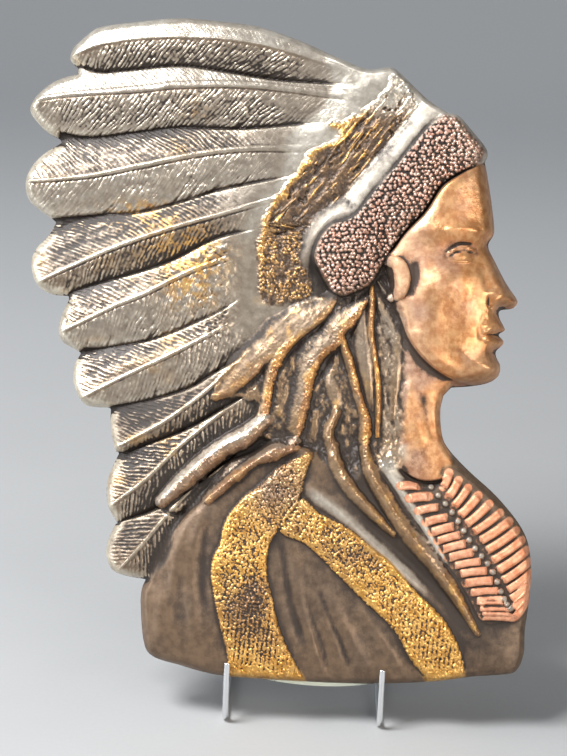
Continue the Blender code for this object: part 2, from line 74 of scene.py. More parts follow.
# ================================================================ drawing tools
def curve(points, n=10, closed=False):
    """Catmull-Rom curve through the control points, n steps a span."""
    P = np.asarray(points, float)
    P = np.vstack([P[-1:], P, P[:2]]) if closed else np.vstack([2 * P[:1] - P[1:2], P, 2 * P[-1:] - P[-2:-1]])
    t = np.linspace(0, 1, n, endpoint=False)[:, None]
    out = []
    for a, b, c, d in zip(P[:-3], P[1:-2], P[2:-1], P[3:]):
        out.append(0.5 * (2 * b + (c - a) * t + (2 * a - 5 * b + 4 * c - d) * t * t + (3 * b - a - 3 * c + d) * t ** 3))
    if not closed:
        out.append(P[-2:-1])
    return np.vstack(out)


def smooth(a, b, x):
    t = np.clip((x - a) / (b - a), 0, 1)
    return t * t * (3 - 2 * t)


def hashed(ix, iy, seed):
    n = ix.astype(np.uint32) * np.uint32(374761393) + iy.astype(np.uint32) * np.uint32(668265263) + np.uint32((seed * 1442695041 + 99) & 0xFFFFFFFF)
    n = (n ^ (n >> np.uint32(13))) * np.uint32(1274126177)
    n = (n ^ (n >> np.uint32(15))) * np.uint32(2246822519)
    return ((n ^ (n >> np.uint32(16))) & np.uint32(0xFFFFFF)).astype(np.float32) / np.float32(0x1000000)


def noise(x, y, seed=0):
    """Smooth value noise, -1 to 1, one cell a unit."""
    fx, fy = np.floor(x), np.floor(y)
    tx, ty = (x - fx).astype(np.float32), (y - fy).astype(np.float32)
    ix, iy = fx.astype(np.int32), fy.astype(np.int32)
    tx, ty = tx * tx * (3 - 2 * tx), ty * ty * (3 - 2 * ty)
    a, b = hashed(ix, iy, seed), hashed(ix + 1, iy, seed)
    c, d = hashed(ix, iy + 1, seed), hashed(ix + 1, iy + 1, seed)
    return 2 * ((a + (b - a) * tx) * (1 - ty) + (c + (d - c) * tx) * ty) - 1


def fractal(x, y, seed=0, octaves=3):
    out, gain = 0, 1.0
    for k in range(octaves):
        out = out + gain * noise(x * 2 ** k, y * 2 ** k, seed + 17 * k)
        gain *= 0.5
    return out / (2 - 2 ** (1 - octaves))


def grains(x, y, pitch, jitter=0.3, seed=0):
    """Distance to the nearest centre of a jittered hexagonal packing, in pitches, and that centre's random number."""
    v = y / (pitch * 0.866)
    row = np.floor(v)
    best = np.full(np.shape(x), 9.0, np.float32)
    tag = np.zeros(np.shape(x), np.float32)
    for dy in (-1, 0, 1):
        r = row + dy
        off = 0.5 * (r.astype(np.int64) & 1)
        col = np.floor(x / pitch - off)
        for dx in (-1, 0, 1):
            c = col + dx
            ci, ri = c.astype(np.int32), r.astype(np.int32)
            px = c + 0.5 + off + jitter * (hashed(ci, ri, seed) - 0.5)
            py = r + 0.5 + jitter * (hashed(ci, ri, seed + 5) - 0.5)
            d = np.sqrt((x / pitch - px) ** 2 + ((v - py) * 0.866) ** 2).astype(np.float32)
            near = d < best
            best = np.where(near, d, best)
            tag = np.where(near, hashed(ci, ri, seed + 11), tag)
    return best, tag


def stations(values, n=64):
    """A smooth table through evenly spaced station values."""
    v = curve(np.c_[np.linspace(0, 1, len(values)), values], 12)
    return np.interp(np.linspace(0, 1, n), v[:, 0], v[:, 1])


def at(table, t):
    return np.interp(t, np.linspace(0, 1, len(table)), table).astype(np.float32)


def blurred(A, cells):
    """Three box blurs in a row, close to a Gaussian."""
    r = max(1, int(round(cells)))
    for _ in range(3):
        for axis in (0, 1):
            B = np.concatenate([np.repeat(A.take([0], axis), r + 1, axis), A, np.repeat(A.take([-1], axis), r, axis)], axis)
            C = np.cumsum(B, axis, dtype=np.float64)
            n = A.shape[axis]
            A = ((C.take(range(2 * r + 1, 2 * r + 1 + n), axis) - C.take(range(0, n), axis)) / (2 * r + 1)).astype(np.float32)
    return A


class Sheet:
    """A height field over the drawing: x to the right and y down in drawing units, heights in millimetres."""

    def __init__(self, x0, y0, x1, y1, step, mult):
        self.x0, self.y0, self.step, self.mult = x0, y0, step, mult
        big = step * mult
        self.cols, self.rows = int(math.ceil((x1 - x0) / big)), int(math.ceil((y1 - y0) / big))
        self.cx = (x0 + big * np.arange(self.cols + 1)).astype(np.float32)
        self.cy = (y0 + big * np.arange(self.rows + 1)).astype(np.float32)
        xs = (x0 + step * np.arange(self.cols * mult + 1)).astype(np.float32)
        ys = (y0 + step * np.arange(self.rows * mult + 1)).astype(np.float32)
        self.X, self.Y = np.meshgrid(xs, ys)
        self.shape = self.X.shape

    def window(self, P, pad):
        """Coarse grid lines around some points, and the same window on the fine grid."""
        lo, hi = P.min(0) - pad, P.max(0) + pad
        big = self.step * self.mult
        j0, j1 = max(0, int((lo[0] - self.x0) / big)), min(self.cols, int((hi[0] - self.x0) / big) + 1)
        i0, i1 = max(0, int((lo[1] - self.y0) / big)), min(self.rows, int((hi[1] - self.y0) / big) + 1)
        m = self.mult
        return (i0, i1, j0, j1), (slice(i0 * m, i1 * m + 1), slice(j0 * m, j1 * m + 1))

    def finer(self, A):
        m = self.mult
        t = (np.arange(m) / m).astype(np.float32)
        B = (A[:-1, None] * (1 - t)[None, :, None] + A[1:, None] * t[None, :, None]).reshape(-1, A.shape[1])
        B = np.vstack([B, A[-1:]])
        C = (B[:, :-1, None] * (1 - t) + B[:, 1:, None] * t).reshape(B.shape[0], -1)
        return np.hstack([C, B[:, -1:]]).astype(np.float32)

    def inside(self, P, pad=10.0):
        """Window and signed distance to a closed outline, positive inside."""
        (i0, i1, j0, j1), w = self.window(P, pad)
        X, Y = np.meshgrid(self.cx[j0:j1 + 1], self.cy[i0:i1 + 1])
        best = np.full(X.shape, 1e9, np.float32)
        odd = np.zeros(X.shape, bool)
        for (ax, ay), (bx, by) in zip(P.astype(np.float32), np.roll(P, -1, 0).astype(np.float32)):
            dx, dy = bx - ax, by - ay
            l2 = dx * dx + dy * dy
            if l2 < 1e-9:
                continue
            px, py = X - ax, Y - ay
            t = np.clip((px * dx + py * dy) / l2, 0, 1)
            best = np.minimum(best, (px - t * dx) ** 2 + (py - t * dy) ** 2)
            if dy != 0:
                rows = (Y[:, 0] >= min(ay, by)) & (Y[:, 0] < max(ay, by))
                odd[rows] ^= X[rows] < ax + (Y[rows] - ay) * (dx / dy)
        d = np.sqrt(best)
        return w, self.finer(np.where(odd, d, -d))

    def along(self, P, pad):
        """Window; arc length from the start; distance; side (positive to the right when walking the curve); whole length."""
        (i0, i1, j0, j1), w = self.window(P, pad)
        X, Y = np.meshgrid(self.cx[j0:j1 + 1], self.cy[i0:i1 + 1])
        best = np.full(X.shape, 1e9, np.float32)
        s, n = np.zeros(X.shape, np.float32), np.zeros(X.shape, np.float32)
        run = 0.0
        P = P.astype(np.float32)
        for (ax, ay), (bx, by) in zip(P[:-1], P[1:]):
            dx, dy = bx - ax, by - ay
            l2 = dx * dx + dy * dy
            if l2 < 1e-9:
                continue
            length = math.sqrt(l2)
            px, py = X - ax, Y - ay
            t = np.clip((px * dx + py * dy) / l2, 0, 1)
            d2 = (px - t * dx) ** 2 + (py - t * dy) ** 2
            near = d2 < best
            best = np.where(near, d2, best)
            s = np.where(near, run + t * length, s)
            n = np.where(near, (dx * py - dy * px) / length, n)
            run += length
        return w, self.finer(s), self.finer(np.sqrt(best)), self.finer(n), run


# ================================================================ the drawing
FEATHERS = [   # tip outline from the upper notch round to the lower notch; lower edge; rachis; each from tip to root
    dict(tip=[(84, 36), (73, 47), (69.5, 56), (71.5, 62), (77.5, 67.5)], low=[(81, 67), (100, 73), (130, 71), (180, 67), (230, 74), (280, 82), (338, 86)],
         shaft=[(66, 60), (84, 52), (100, 46), (140, 40), (200, 39), (260, 46), (320, 63), (346, 72)]),
    dict(tip=[(77, 73), (59, 78.3), (44.3, 87), (33, 99), (30, 112), (44.3, 129.7), (59, 138.8)], low=[(60, 132), (90, 137), (140, 132), (180, 128), (240, 130), (310, 125)],
         shaft=[(28, 104), (55, 100), (80, 97), (140, 93), (180, 89), (240, 88.5), (290, 93), (334, 99)]),
    dict(tip=[(61, 142), (41.4, 154.6), (29, 169), (24.5, 185.4), (30, 202), (50, 217.7)], low=[(55, 218), (95, 215), (140, 213), (180, 203), (215, 192), (265, 182)],
         shaft=[(22, 182), (60, 180), (100, 175), (140, 167), (200, 155), (250, 150), (290, 150)]),
    dict(tip=[(55.5, 222), (48, 234.5), (35, 249), (30.3, 264.5), (36, 284), (50, 293.7), (67.7, 296)], low=[(70, 292), (100, 283), (145, 271), (175, 260), (215, 240), (256, 230)],
         shaft=[(32, 286), (60, 272), (120, 246), (180, 226), (220, 215), (262, 203)]),
    dict(tip=[(68.4, 299), (60.5, 316), (57.8, 329), (61, 341), (78.7, 351.8)], low=[(84, 348), (110, 347), (155, 339), (200, 321), (225, 309), (246, 294)],
         shaft=[(56, 334), (80, 323), (115, 306), (145, 294), (190, 272), (246, 252)]),
    dict(tip=[(80, 353.3), (73.5, 366), (73.5, 385), (84.5, 404.6), (109.5, 408.3)], low=[(112, 406), (150, 400.5), (190, 388), (220, 370), (256, 348)],
         shaft=[(76, 401), (95, 391), (125, 376), (170, 355), (215, 332), (266, 306)]),
    dict(tip=[(110.2, 409.6), (109.8, 417), (110, 428), (112, 440), (115, 452.6)], low=[(122, 453), (160, 440), (190, 428), (225, 408)],
         shaft=[(106, 452), (140, 435), (170, 418), (205, 392), (230, 370)]),
    dict(tip=[(119, 452), (109, 474), (106, 490), (108, 508), (117, 523.7)], low=[(124, 520), (150, 512), (180, 496), (215, 470)],
         shaft=[(104, 511), (118, 500), (140, 484), (160, 466), (180, 446), (222, 412), (250, 390)]),
    dict(tip=[(115, 524), (107.6, 540), (105.8, 556), (112, 570.7), (126, 576.5), (145, 580)], low=[(152, 578), (166, 556), (182, 520), (200, 500)],
         shaft=[(112, 578), (126, 562), (146, 540), (168, 514), (194, 486)]),
]
TOP = [(84, 36), (100, 26), (140, 20.4), (180, 17), (220, 20.3), (260, 26), (300, 39.5), (332, 54), (367, 68.5), (391, 67), (405, 77), (429, 100), (448, 113)]
BROWBAND = [(448, 113), (459, 116), (473, 131), (488, 151), (485, 164)]
# the face is a general one: hairline, brow, nose base and chin a third of the face apart, everything else a share of that third
THIRD, HAIRLINE, FRONT = 71.0, 168.0, 487.0
PROFILE = [(0.0, 0.0), (5, 0.45), (8, 0.82), (7, 0.95), (2, 1.10), (9, 1.32), (20, 1.62), (30, 1.83), (31, 1.91), (26, 1.98), (14, 2.01), (13, 2.10), (17.5, 2.23),
           (18.5, 2.29), (12.5, 2.35), (17, 2.43), (16.5, 2.49), (10, 2.58), (10, 2.66), (14, 2.79), (12, 2.93), (2, 3.03), (-16, 3.08), (-38, 3.10)]
FACE = [(FRONT + a, HAIRLINE + THIRD * b) for a, b in PROFILE]
CHEST = [(444, 396), (441, 412), (443, 436), (450, 450), (468.6, 470), (500, 499.3), (525, 533), (532, 565), (530, 600), (525.8, 631), (524.5, 655), (516, 672.4), (498, 676.2)]
HEM = [(473, 677.5), (418, 683.4), (350, 684), (277, 680.4), (218, 676), (178, 665.7), (152, 657), (143, 642), (140, 606), (141, 590), (145, 580)]
BAND_TOP = [(450, 112), (432, 124), (415, 143), (392, 171), (372, 194), (358, 216)]
BAND_LOW = [(486, 162), (460, 175), (440, 189), (424, 213), (404, 234), (391, 252), (380, 262)]
CROWN = [(332, 50), (367, 60), (391, 58), (410, 70), (440, 98), (456, 112), (430, 134), (400, 170), (372, 205), (330, 226), (314, 250), (316, 300), (300, 335), (262, 348),
         (236, 330), (232, 290), (238, 245), (255, 212), (278, 190), (290, 165), (292, 140), (325, 112), (338, 86)]
WEAVE = [(394, 80), (380, 98), (364, 111), (349, 121), (332, 127), (340, 138), (311, 155), (298, 174), (284, 191), (266, 213), (261, 236), (260, 262), (263, 299), (286, 301), (308, 296),
         (306, 268), (300, 242), (306, 226), (332, 209), (349, 190), (363, 177), (377, 160), (389, 145), (402, 129), (413, 113), (410, 96), (402, 84)]
ROLL = [(448, 104), (428, 122), (410, 136), (394, 152), (380, 171), (366, 191), (352, 206), (336, 215), (320, 226), (311, 242), (309, 262), (314, 280)]
GROOVE = [(418, 120), (390, 147), (366, 170), (350, 191), (330, 207), (310, 219), (301, 236)]
ROSETTE = [(357, 214), (345, 222), (331, 226), (319, 240), (314, 258), (320, 274), (330, 291), (341, 297), (355, 293), (369, 286), (377, 275), (384, 262), (392, 250), (380, 225)]
JAW = [(383, 258), (392, 300), (402, 330), (418, 355), (440, 374), (465, 384), (490, 391), (540, 396), (540, 150), (486, 161), (460, 174), (440, 188), (424, 212), (404, 233), (391, 251)]
NECK = [(385, 290), (384, 445), (396, 466), (415, 479), (436, 480), (452, 470), (447, 440), (446, 412), (460, 392), (480, 380), (440, 360), (410, 320)]
ROBE = [(144, 585), (158, 556), (182, 516), (226, 478), (280, 440), (340, 424), (384, 440), (398, 466), (416, 480), (438, 481), (456, 462), (600, 455), (600, 760), (110, 760), (110, 600)]
BAND_LEFT = [(225, 520), (220, 541), (213, 556), (211, 574), (214, 597), (219, 620), (226, 646), (240, 700), (308, 700), (294, 658), (285, 639), (277, 615), (273, 595), (268, 573),
             (268, 554), (273, 537), (279, 529), (300, 497), (304, 480), (313, 453), (300, 455), (278, 466), (262, 482), (242, 497)]
BAND_RIGHT = [(300, 497), (320, 512), (339, 521), (355, 532), (370, 545), (389, 560), (412, 586), (437, 610), (448, 625), (456, 640), (462, 658), (464, 673), (466, 700), (436, 700),
              (421, 672), (412, 662), (403, 646), (392, 628), (380, 615), (365, 602), (349, 586), (336, 573), (318, 555), (303, 542), (279, 529)]
PLATE = [(396, 480), (410, 482), (424, 482), (436, 480), (446, 466), (462, 474), (486, 494), (510, 520), (530, 548), (533, 576), (529, 600), (524, 616), (500, 621), (480, 619),
         (462, 588), (440, 556), (424, 532), (408, 506)]
# breastplate: ends of the pipes in the two columns, and the beads between them
PIPES = [
    dict(a=[(399, 485), (424, 521), (441, 548), (458, 572), (474, 599), (481, 614)], b=[(418, 485), (446, 516), (465, 542), (486, 569), (502, 598), (512, 616)], count=16),
    dict(a=[(442, 486), (457, 513), (476, 536), (493, 563), (506, 591), (513, 616)], b=[(448, 472), (475, 493), (505, 517), (523, 543), (530, 574), (526, 600)], count=15),
]
BEADS = [(430, 486), (452, 513), (470, 542), (489, 567), (502, 596), (509, 607)]
LOCKS = [(296, 304), (316, 297), (344, 290), (382, 258), (392, 300), (400, 330), (402, 372), (400, 440), (398, 462), (380, 470), (362, 464), (346, 474), (326, 462), (304, 448),
         (284, 446), (264, 436), (256, 422), (258, 404), (240, 397), (220, 396), (216, 384), (240, 356), (272, 330)]
ROPES = [   # crest line, half width on the steep side and on the gentle side, height over the seat, seat, gold on the edge, painted highlight on the gentle side
    ([(402, 304), (398, 340), (396, 372), (392, 418)], (4, 6, 6, 3), (7, 10, 10, 6), (1.2, 1.8, 1.8, 1), 19.6, 0.0, 0.30),
    ([(362, 306), (363, 332), (366, 360), (369, 388), (371, 410)], (5, 7, 8, 7, 4), (8, 13, 15, 12, 6), (1.5, 3, 3.4, 3, 1), 19.3, 0.0, 0.42),
    ([(336, 299), (322, 317), (304, 331), (292, 341), (278, 352), (262, 362), (248, 373), (232, 388), (216, 397)], (5, 6, 6, 7, 8, 8, 8, 7, 5),
     (14, 26, 34, 38, 36, 30, 24, 17, 10), (4, 6, 7.2, 7.2, 6.6, 5.8, 5.0, 4.0, 2.4), 16.8, 0.35, 0.14),
    ([(298, 335), (284, 349), (274, 367), (269, 387), (267, 406), (264, 426)], (6, 9, 10, 9, 8, 6), (8, 11, 12, 11, 10, 8), (5.4, 6.2, 5.8, 5.2, 4.8, 3.4), 17.2, 1.0, 0.10),
    ([(264, 357), (256, 370), (246, 380), (230, 392)], (5, 6, 6, 4), (10, 12, 11, 8), (4.6, 5.0, 4.4, 2), 16.8, 0.7, 0.30),
    ([(367, 301), (353, 321), (342, 332), (337, 343), (324, 352), (315, 364), (310, 378), (306, 396), (301, 418), (296, 440)], (4, 6, 7, 8, 8, 9, 9, 9, 9, 6),
     (12, 22, 28, 28, 27, 25, 23, 22, 20, 14), (4.2, 6.0, 6.8, 6.6, 6.4, 6.2, 6.0, 5.6, 5.0, 3.0), 17.6, 0.9, 0.20),
    ([(331, 352), (329, 374), (335, 396), (337, 414), (329, 434), (326, 450)], (6, 7, 8, 8, 7, 6), (9, 13, 14, 13, 11, 9), (0.5, 1.6, 3.0, 3.2, 2.4, 1.2), 17.8, 0.0, 0.20),
    ([(341, 328), (344, 345), (350, 361), (354, 377), (357, 391), (362, 407), (366, 420), (365, 440), (364, 460)], (4, 5, 5, 5, 6, 7, 9, 9, 7), (7, 9, 9, 9, 9, 10, 12, 12, 9),
     (4.5, 5.8, 5.6, 5.4, 5.6, 5.6, 5.6, 5.2, 4), 18.2, 0.85, 0.10),
    ([(337, 412), (329, 431), (333, 446), (338, 462), (348, 482), (364, 502), (379, 518), (393, 533)], (5, 6, 7, 7, 7, 7, 6, 4), (8, 10, 12, 12, 12, 11, 9, 5),
     (2.4, 3.0, 3.4, 4.0, 4.2, 4.2, 3.6, 2.0), 18.0, 0.22, 0.12),
    ([(371, 288), (372, 304), (370.5, 328), (373, 350), (376.5, 372), (378, 398), (377, 436)], (3, 3.4, 3.6, 3.4, 3.2, 3.0, 2.4), (5, 6, 6, 6, 5.4, 5, 4), (3.5, 4, 3.8, 3.6, 3.4, 3.4, 1.8), 19.6, 0.9, 0.1),
    ([(364, 450), (371, 474), (386, 500), (402, 526), (432, 562), (456, 597), (476, 632)], (8, 12, 14, 14, 12, 8, 4), (8, 11, 12, 12, 11, 8, 4), (3.8, 5.0, 5.4, 5.4, 4.8, 3.8, 1.8), 18.4, 0.18, 0.1),
    ([(266, 420), (247, 436), (224, 448), (203, 464), (184, 482), (163, 501)], (9, 12, 10, 12, 11, 7), (11, 14, 13, 13, 13, 8), (5, 7.0, 6.2, 7.2, 6.8, 3.6), 17.4, 0.22, 0.85),
    ([(296, 444), (273, 453), (252, 462), (236, 472), (221, 486), (208, 499)], (6, 8, 6, 9, 8, 5), (9, 13, 10, 13, 12, 7), (3.0, 4.6, 3.2, 4.8, 4.2, 2.0), 17.6, 0.34, 0.30),
]
FOLDS = [   # robe ridges: centre line, spread, height in mm
    ([(292, 476), (321, 497), (358, 530), (396, 566), (434, 600)], 7, 2.6),
    ([(184, 516), (179, 560), (166, 600), (160, 655)], 9, 2.2),
    ([(207, 508), (197, 535), (190, 580), (198, 650)], 7, 2.0),
    ([(290, 555), (300, 590), (310, 630), (322, 676)], 6, 1.6),
    ([(322, 578), (336, 610), (352, 640), (372, 676)], 7, 1.8),
    ([(352, 600), (374, 630), (392, 655), (404, 680)], 5, 1.0),
]
HOLLOWS = [   # centre line, spread, depth in mm
    ([(340, 506), (362, 522), (390, 545), (420, 574), (446, 600), (468, 640)], 8, 2.2),
    ([(300, 580), (311, 618), (322, 648), (334, 690)], 4.0, 1.1),
    ([(316, 580), (330, 616), (340, 640), (354, 680)], 3.4, 0.9),
    ([(279, 531), (284, 560), (290, 600), (306, 650)], 5, 1.4),
    ([(152, 578), (166, 552), (184, 516), (214, 492)], 5, 2.4),
    ([(392, 440), (404, 472), (425, 486), (450, 480)], 4, 1.8),
    ([(172, 550), (166, 596), (164, 650)], 4, 0.7),
    ([(206, 516), (203, 560), (206, 620)], 5, 1.0),
]


def outline(n):
    """The whole edge, notch to notch."""
    parts = [curve(f["tip"], n) for f in FEATHERS]
    ring = [curve(TOP, n)[:-1], curve(BROWBAND, n)[:-1], curve(FACE, n)[:-1], curve(CHEST, n)[:-1], curve(HEM, n)[:-1]]
    for p in parts[::-1]:
        ring.append(p[::-1])
    return np.vstack(ring)


def clean_ring(P, gap):
    """Even steps round a closed outline."""
    Q = np.vstack([P, P[:1]])
    s = np.r_[0, np.cumsum(np.hypot(*np.diff(Q, axis=0).T))]
    t = np.linspace(0, s[-1], int(round(s[-1] / gap)), endpoint=False)
    return np.c_[np.interp(t, s, Q[:, 0]), np.interp(t, s, Q[:, 1])]


# ================================================================ the carving
def carve(S, ring):
    """Height of the front over the flat back in millimetres, and soft region masks for the paint, painted highlight and
    painted shade among them.
    """
    X, Y = S.X, S.Y
    _, edge = S.inside(ring, 900)
    H = (10.0 + 5.5 * smooth(150, 235, X)).astype(np.float32)
    M = {k: np.zeros(S.shape, np.float32) for k in ("feather", "barb", "shaft", "weave", "bead", "face", "hair", "gold", "pipe", "robe", "crown", "band", "drop", "edge", "painted_sheen", "dark_and_shade", "tone", "shade")}

    def mark(name, w, m, clear=()):
        M[name][w] = np.maximum(M[name][w], m)
        for c in clear:
            M[c][w] = M[c][w] * (1 - m)

    def region(poly, soft=1.0, n=6):
        w, sd = S.inside(curve(poly, n, True), 8)
        return w, sd, smooth(-soft, soft, sd)

    def lay(poly, level, soft=1.3, roll=0.0, reach=5.0, n=6):
        w, sd, m = region(poly, soft, n)
        level = level[w] if np.ndim(level) else level
        if roll:
            level = level - roll * (1 - np.sqrt(np.clip(1 - (1 - np.clip(sd, 0, reach) / reach) ** 2, 0, 1)))
        H[w] += (level - H[w]) * m
        return w, sd, m

    def ridge(pts, wide, high, seat=None, grain=0.0, seed=0, tone="hair"):
        P = curve(pts, 8)
        wide, high = stations(wide), stations(high)
        w, s, u, n, run = S.along(P, float(max(wide)) + 6)
        t = s / run
        q = np.clip(1 - (u / at(wide, t)) ** 2, 0, 1)
        here = H[w]
        base = here if seat is None else np.maximum(here, seat - 2.0)
        top = base + at(high, t) * np.sqrt(q)
        if grain:
            top = top + grain * fractal(s / 34.0, n / 2.1, seed, 3) * smooth(0.0, 0.5, q)
        H[w] = np.where(q > 0, here + (top - here) * smooth(0, 0.18, q), here)
        mark(tone, w, smooth(0.0, 0.15, q), [k for k in ("weave", "gold", "robe", "feather", "barb", "crown") if k != tone])
        return w, s, u, n, t, q

    def gauss(pts, spread, high, ends=0.22, n=8):
        w, s, u, _, run = S.along(curve(pts, n), 3 * spread)
        t = s / run
        H[w] += high * np.exp(-(u / spread) ** 2) * smooth(0, ends, t) * smooth(0, ends, 1 - t)

    def swell(x, y, rx, ry, high, turn=0.0):
        c, s = math.cos(math.radians(turn)), math.sin(math.radians(turn))
        r = 3 * max(rx, ry)
        w = S.window(np.array([[x - r, y - r], [x + r, y + r]]), 0)[1]
        a, b = (X[w] - x) * c + (Y[w] - y) * s, (Y[w] - y) * c - (X[w] - x) * s
        H[w] += high * np.exp(-(a / rx) ** 2 - (b / ry) ** 2)

    # ---- feathers, the lowest first, each laid over the next
    CORDS = [(1.6, 0.15, 0.0), (3.6, 0.75, -3.0), (3.0, 0.85, -0.5), (2.3, 0.75, 0.0), (2.2, 0.6, 0.0), (1.9, 0.55, 0.0), (1.8, 0.5, 0.0), (1.8, 0.5, 0.0), (1.7, 0.45, 0.0)]
    for k in range(len(FEATHERS) - 1, -1, -1):
        f = FEATHERS[k]
        tip, low, shaft = curve(f["tip"], 6), curve(f["low"], 6), curve(f["shaft"], 6)
        above = curve(FEATHERS[k - 1]["shaft"], 6) if k else curve([(60, 5), (200, -20), (345, 20), (350, 60)], 6)
        on = lambda c, d: np.vstack([c, c[-1:] + d * (c[-1:] - c[-4:-3]) / max(np.hypot(*(c[-1] - c[-4])), 1e-6)])
        under = (30, 30, 30, 30, 30, 30, 40, 44, 26)[k]
        w, sd = S.inside(np.vstack([tip, on(low, under), on(above, under)[::-1]]), 6)
        w2, s, u, n, run = S.along(shaft, 140)
        full = lambda A, fill: (lambda B: (B.__setitem__(w2, A), B)[1])(np.full(S.shape, fill, np.float32))[w]
        s, n = full(s, 0.0), full(n, 90.0)
        t = s / run
        x, y = X[w], Y[w]
        up, down = np.clip(-n, 0, 60), np.clip(n, 0, 60)
        sdp = np.clip(sd, 0, 60)
        root = smooth(0.72, 1.0, t)
        crest = 15.2 + 3.0 * smooth(0.0, 0.6, t)
        share = down / np.maximum(down + sdp, 1.0)
        level = crest - 6.6 * np.clip(up / 31.0, 0, 1.3) ** 1.25 - 4.4 * share ** 1.7 * smooth(0, 10, down + sdp)
        level = level + 0.5 * fractal(s / 60.0, n / 30.0, 11 + k, 2) + 0.35 * fractal(s / 22.0, n / 9.0, 191 + k, 2)
        level = level + (17.2 - level) * 0.72 * root
        # rachis: a rounded cord over a fine groove, thinner to the tip
        half, tall, shift = CORDS[k]
        half = half * (0.55 + 0.45 * smooth(0.0, 0.5, t))
        nn = n - shift
        level = level + tall * (0.6 + 0.4 * t) * np.sqrt(np.clip(1 - (nn / half) ** 2, 0, 1)) - 0.45 * tall * np.exp(-((nn - half - 1.1) / 1.1) ** 2)
        # barbs: slanting ribs that sweep from the rachis to the tip, lumpy and broken up
        off = np.abs(n)
        sweep = s + 0.78 * off + 0.006 * off ** 2 + 2.4 * fractal(x / 13.0, y / 13.0, 31 + k, 2)
        beat = fractal(sweep / 11.0, off / 30.0, 71 + k, 2)
        phase = sweep / 5.2 + 0.5 * beat
        rib = (0.5 + 0.5 * np.cos(2 * np.pi * phase)) ** 1.2
        lump = noise(off / 3.1, np.floor(phase + 0.5) * 3.7, 151 + k) + 0.5 * noise(off / 1.6, np.floor(phase + 0.5) * 5.3, 152 + k)
        above_side = n < 0
        body = np.where(above_side, (0.10, 0.28, 0.62, 0.62, 0.66, 0.7, 0.85, 0.9, 0.9)[k], (1.0, 1.0, 0.85, 0.9, 0.85, 0.85, 1.0, 1.0, 1.0)[k])
        strong = smooth(0.5, 5.0, off) * body * (0.62 + 0.5 * fractal(x / 24.0, y / 24.0, 91 + k, 2)) * (1 - 0.75 * root)
        level = level + strong * (0.62 * (rib - 0.4) * (0.75 + 0.75 * lump) + 0.12 * lump + 0.26 * fractal(x / 2.4, y / 2.4, 171 + k, 2) + 0.25 * fractal(sweep / 7.0, off / 12.0, 221 + k, 2))
        # splits in the vane at the edges
        nick = smooth(0.30, 0.75, fractal(sweep / 6.5, off / 60.0, 131 + k, 1)) * smooth(0.0, 14.0, off) * smooth(15.0, 2.0, sd) * (1 - root)
        level = level - 0.9 * nick
        level = level - 2.3 * (1 - np.sqrt(np.clip(1 - (1 - np.clip(sd, 0, 6.5) / 6.5) ** 2, 0, 1))) * (1 - 0.6 * root)
        m = smooth(-1.2, 1.0, sd)
        H[w] += (level - H[w]) * m
        M["feather"][w] = np.maximum(M["feather"][w], m)
        M["barb"][w] = M["barb"][w] * (1 - m) + m * np.clip(strong * (rib * (0.6 + 0.6 * lump) + 0.2), 0, 1)
        # per side of the rachis: black-brown paint and painted shade, the top two feathers much darker on their lower
        # halves; painted highlight on their upper halves and near the roots; painted shade or light by feather and side
        dark_and_shade = np.where(above_side, (0.0, 0.12, 0.36, 0.46, 0.42, 0.42, 0.95, 0.95, 0.95)[k], (0.95, 0.80, 0.25, 0.48, 0.20, 0.22, 1.0, 0.95, 1.0)[k])
        painted_sheen = np.where(above_side, (1.0, 0.80, 0.20, 0.12, 0.08, 0.05, 0.0, 0.0, 0.0)[k], (0.04, 0.08, 0.16, 0.05, 0.05, 0.05, 0.0, 0.0, 0.0)[k])
        dark_and_shade = dark_and_shade * smooth(1.5, 4.5, off) * (1 - 0.75 * root)
        painted_sheen = painted_sheen + (0.6 - painted_sheen) * root * smooth(8, 2, k)
        M["dark_and_shade"][w] = M["dark_and_shade"][w] * (1 - m) + m * dark_and_shade
        shade = np.where(above_side, (0.0, 0.05, 0.25, 0.5, 0.0, 0.1, 0.9, 0.3, 0.5)[k], (-0.6, -0.95, -1.3, 0.1, -1.4, -1.0, -0.1, -0.3, -0.1)[k]) * smooth(0.0, 6.0, off) * (1 - root)
        M["shade"][w] = M["shade"][w] * (1 - m) + m * shade
        M["painted_sheen"][w] = M["painted_sheen"][w] * (1 - m) + m * painted_sheen
        M["shaft"][w] = M["shaft"][w] * (1 - m) + m * smooth(half + 1.0, half - 0.5, np.abs(nn))
    # rough, worn casting where the middle feathers go under the hair
    w = S.window(np.array([[180, 215], [285, 365]]), 0)[1]
    rough = smooth(64, 22, np.hypot((X[w] - 238) * 0.95, (Y[w] - 292) * 0.85))
    H[w] += rough * (1.0 * fractal(X[w] / 4.6, Y[w] / 4.6, 7, 3) + 0.5 * fractal(X[w] / 16.0, Y[w] / 16.0, 8, 2))
    H[w] += (16.6 - H[w]) * rough * 0.45

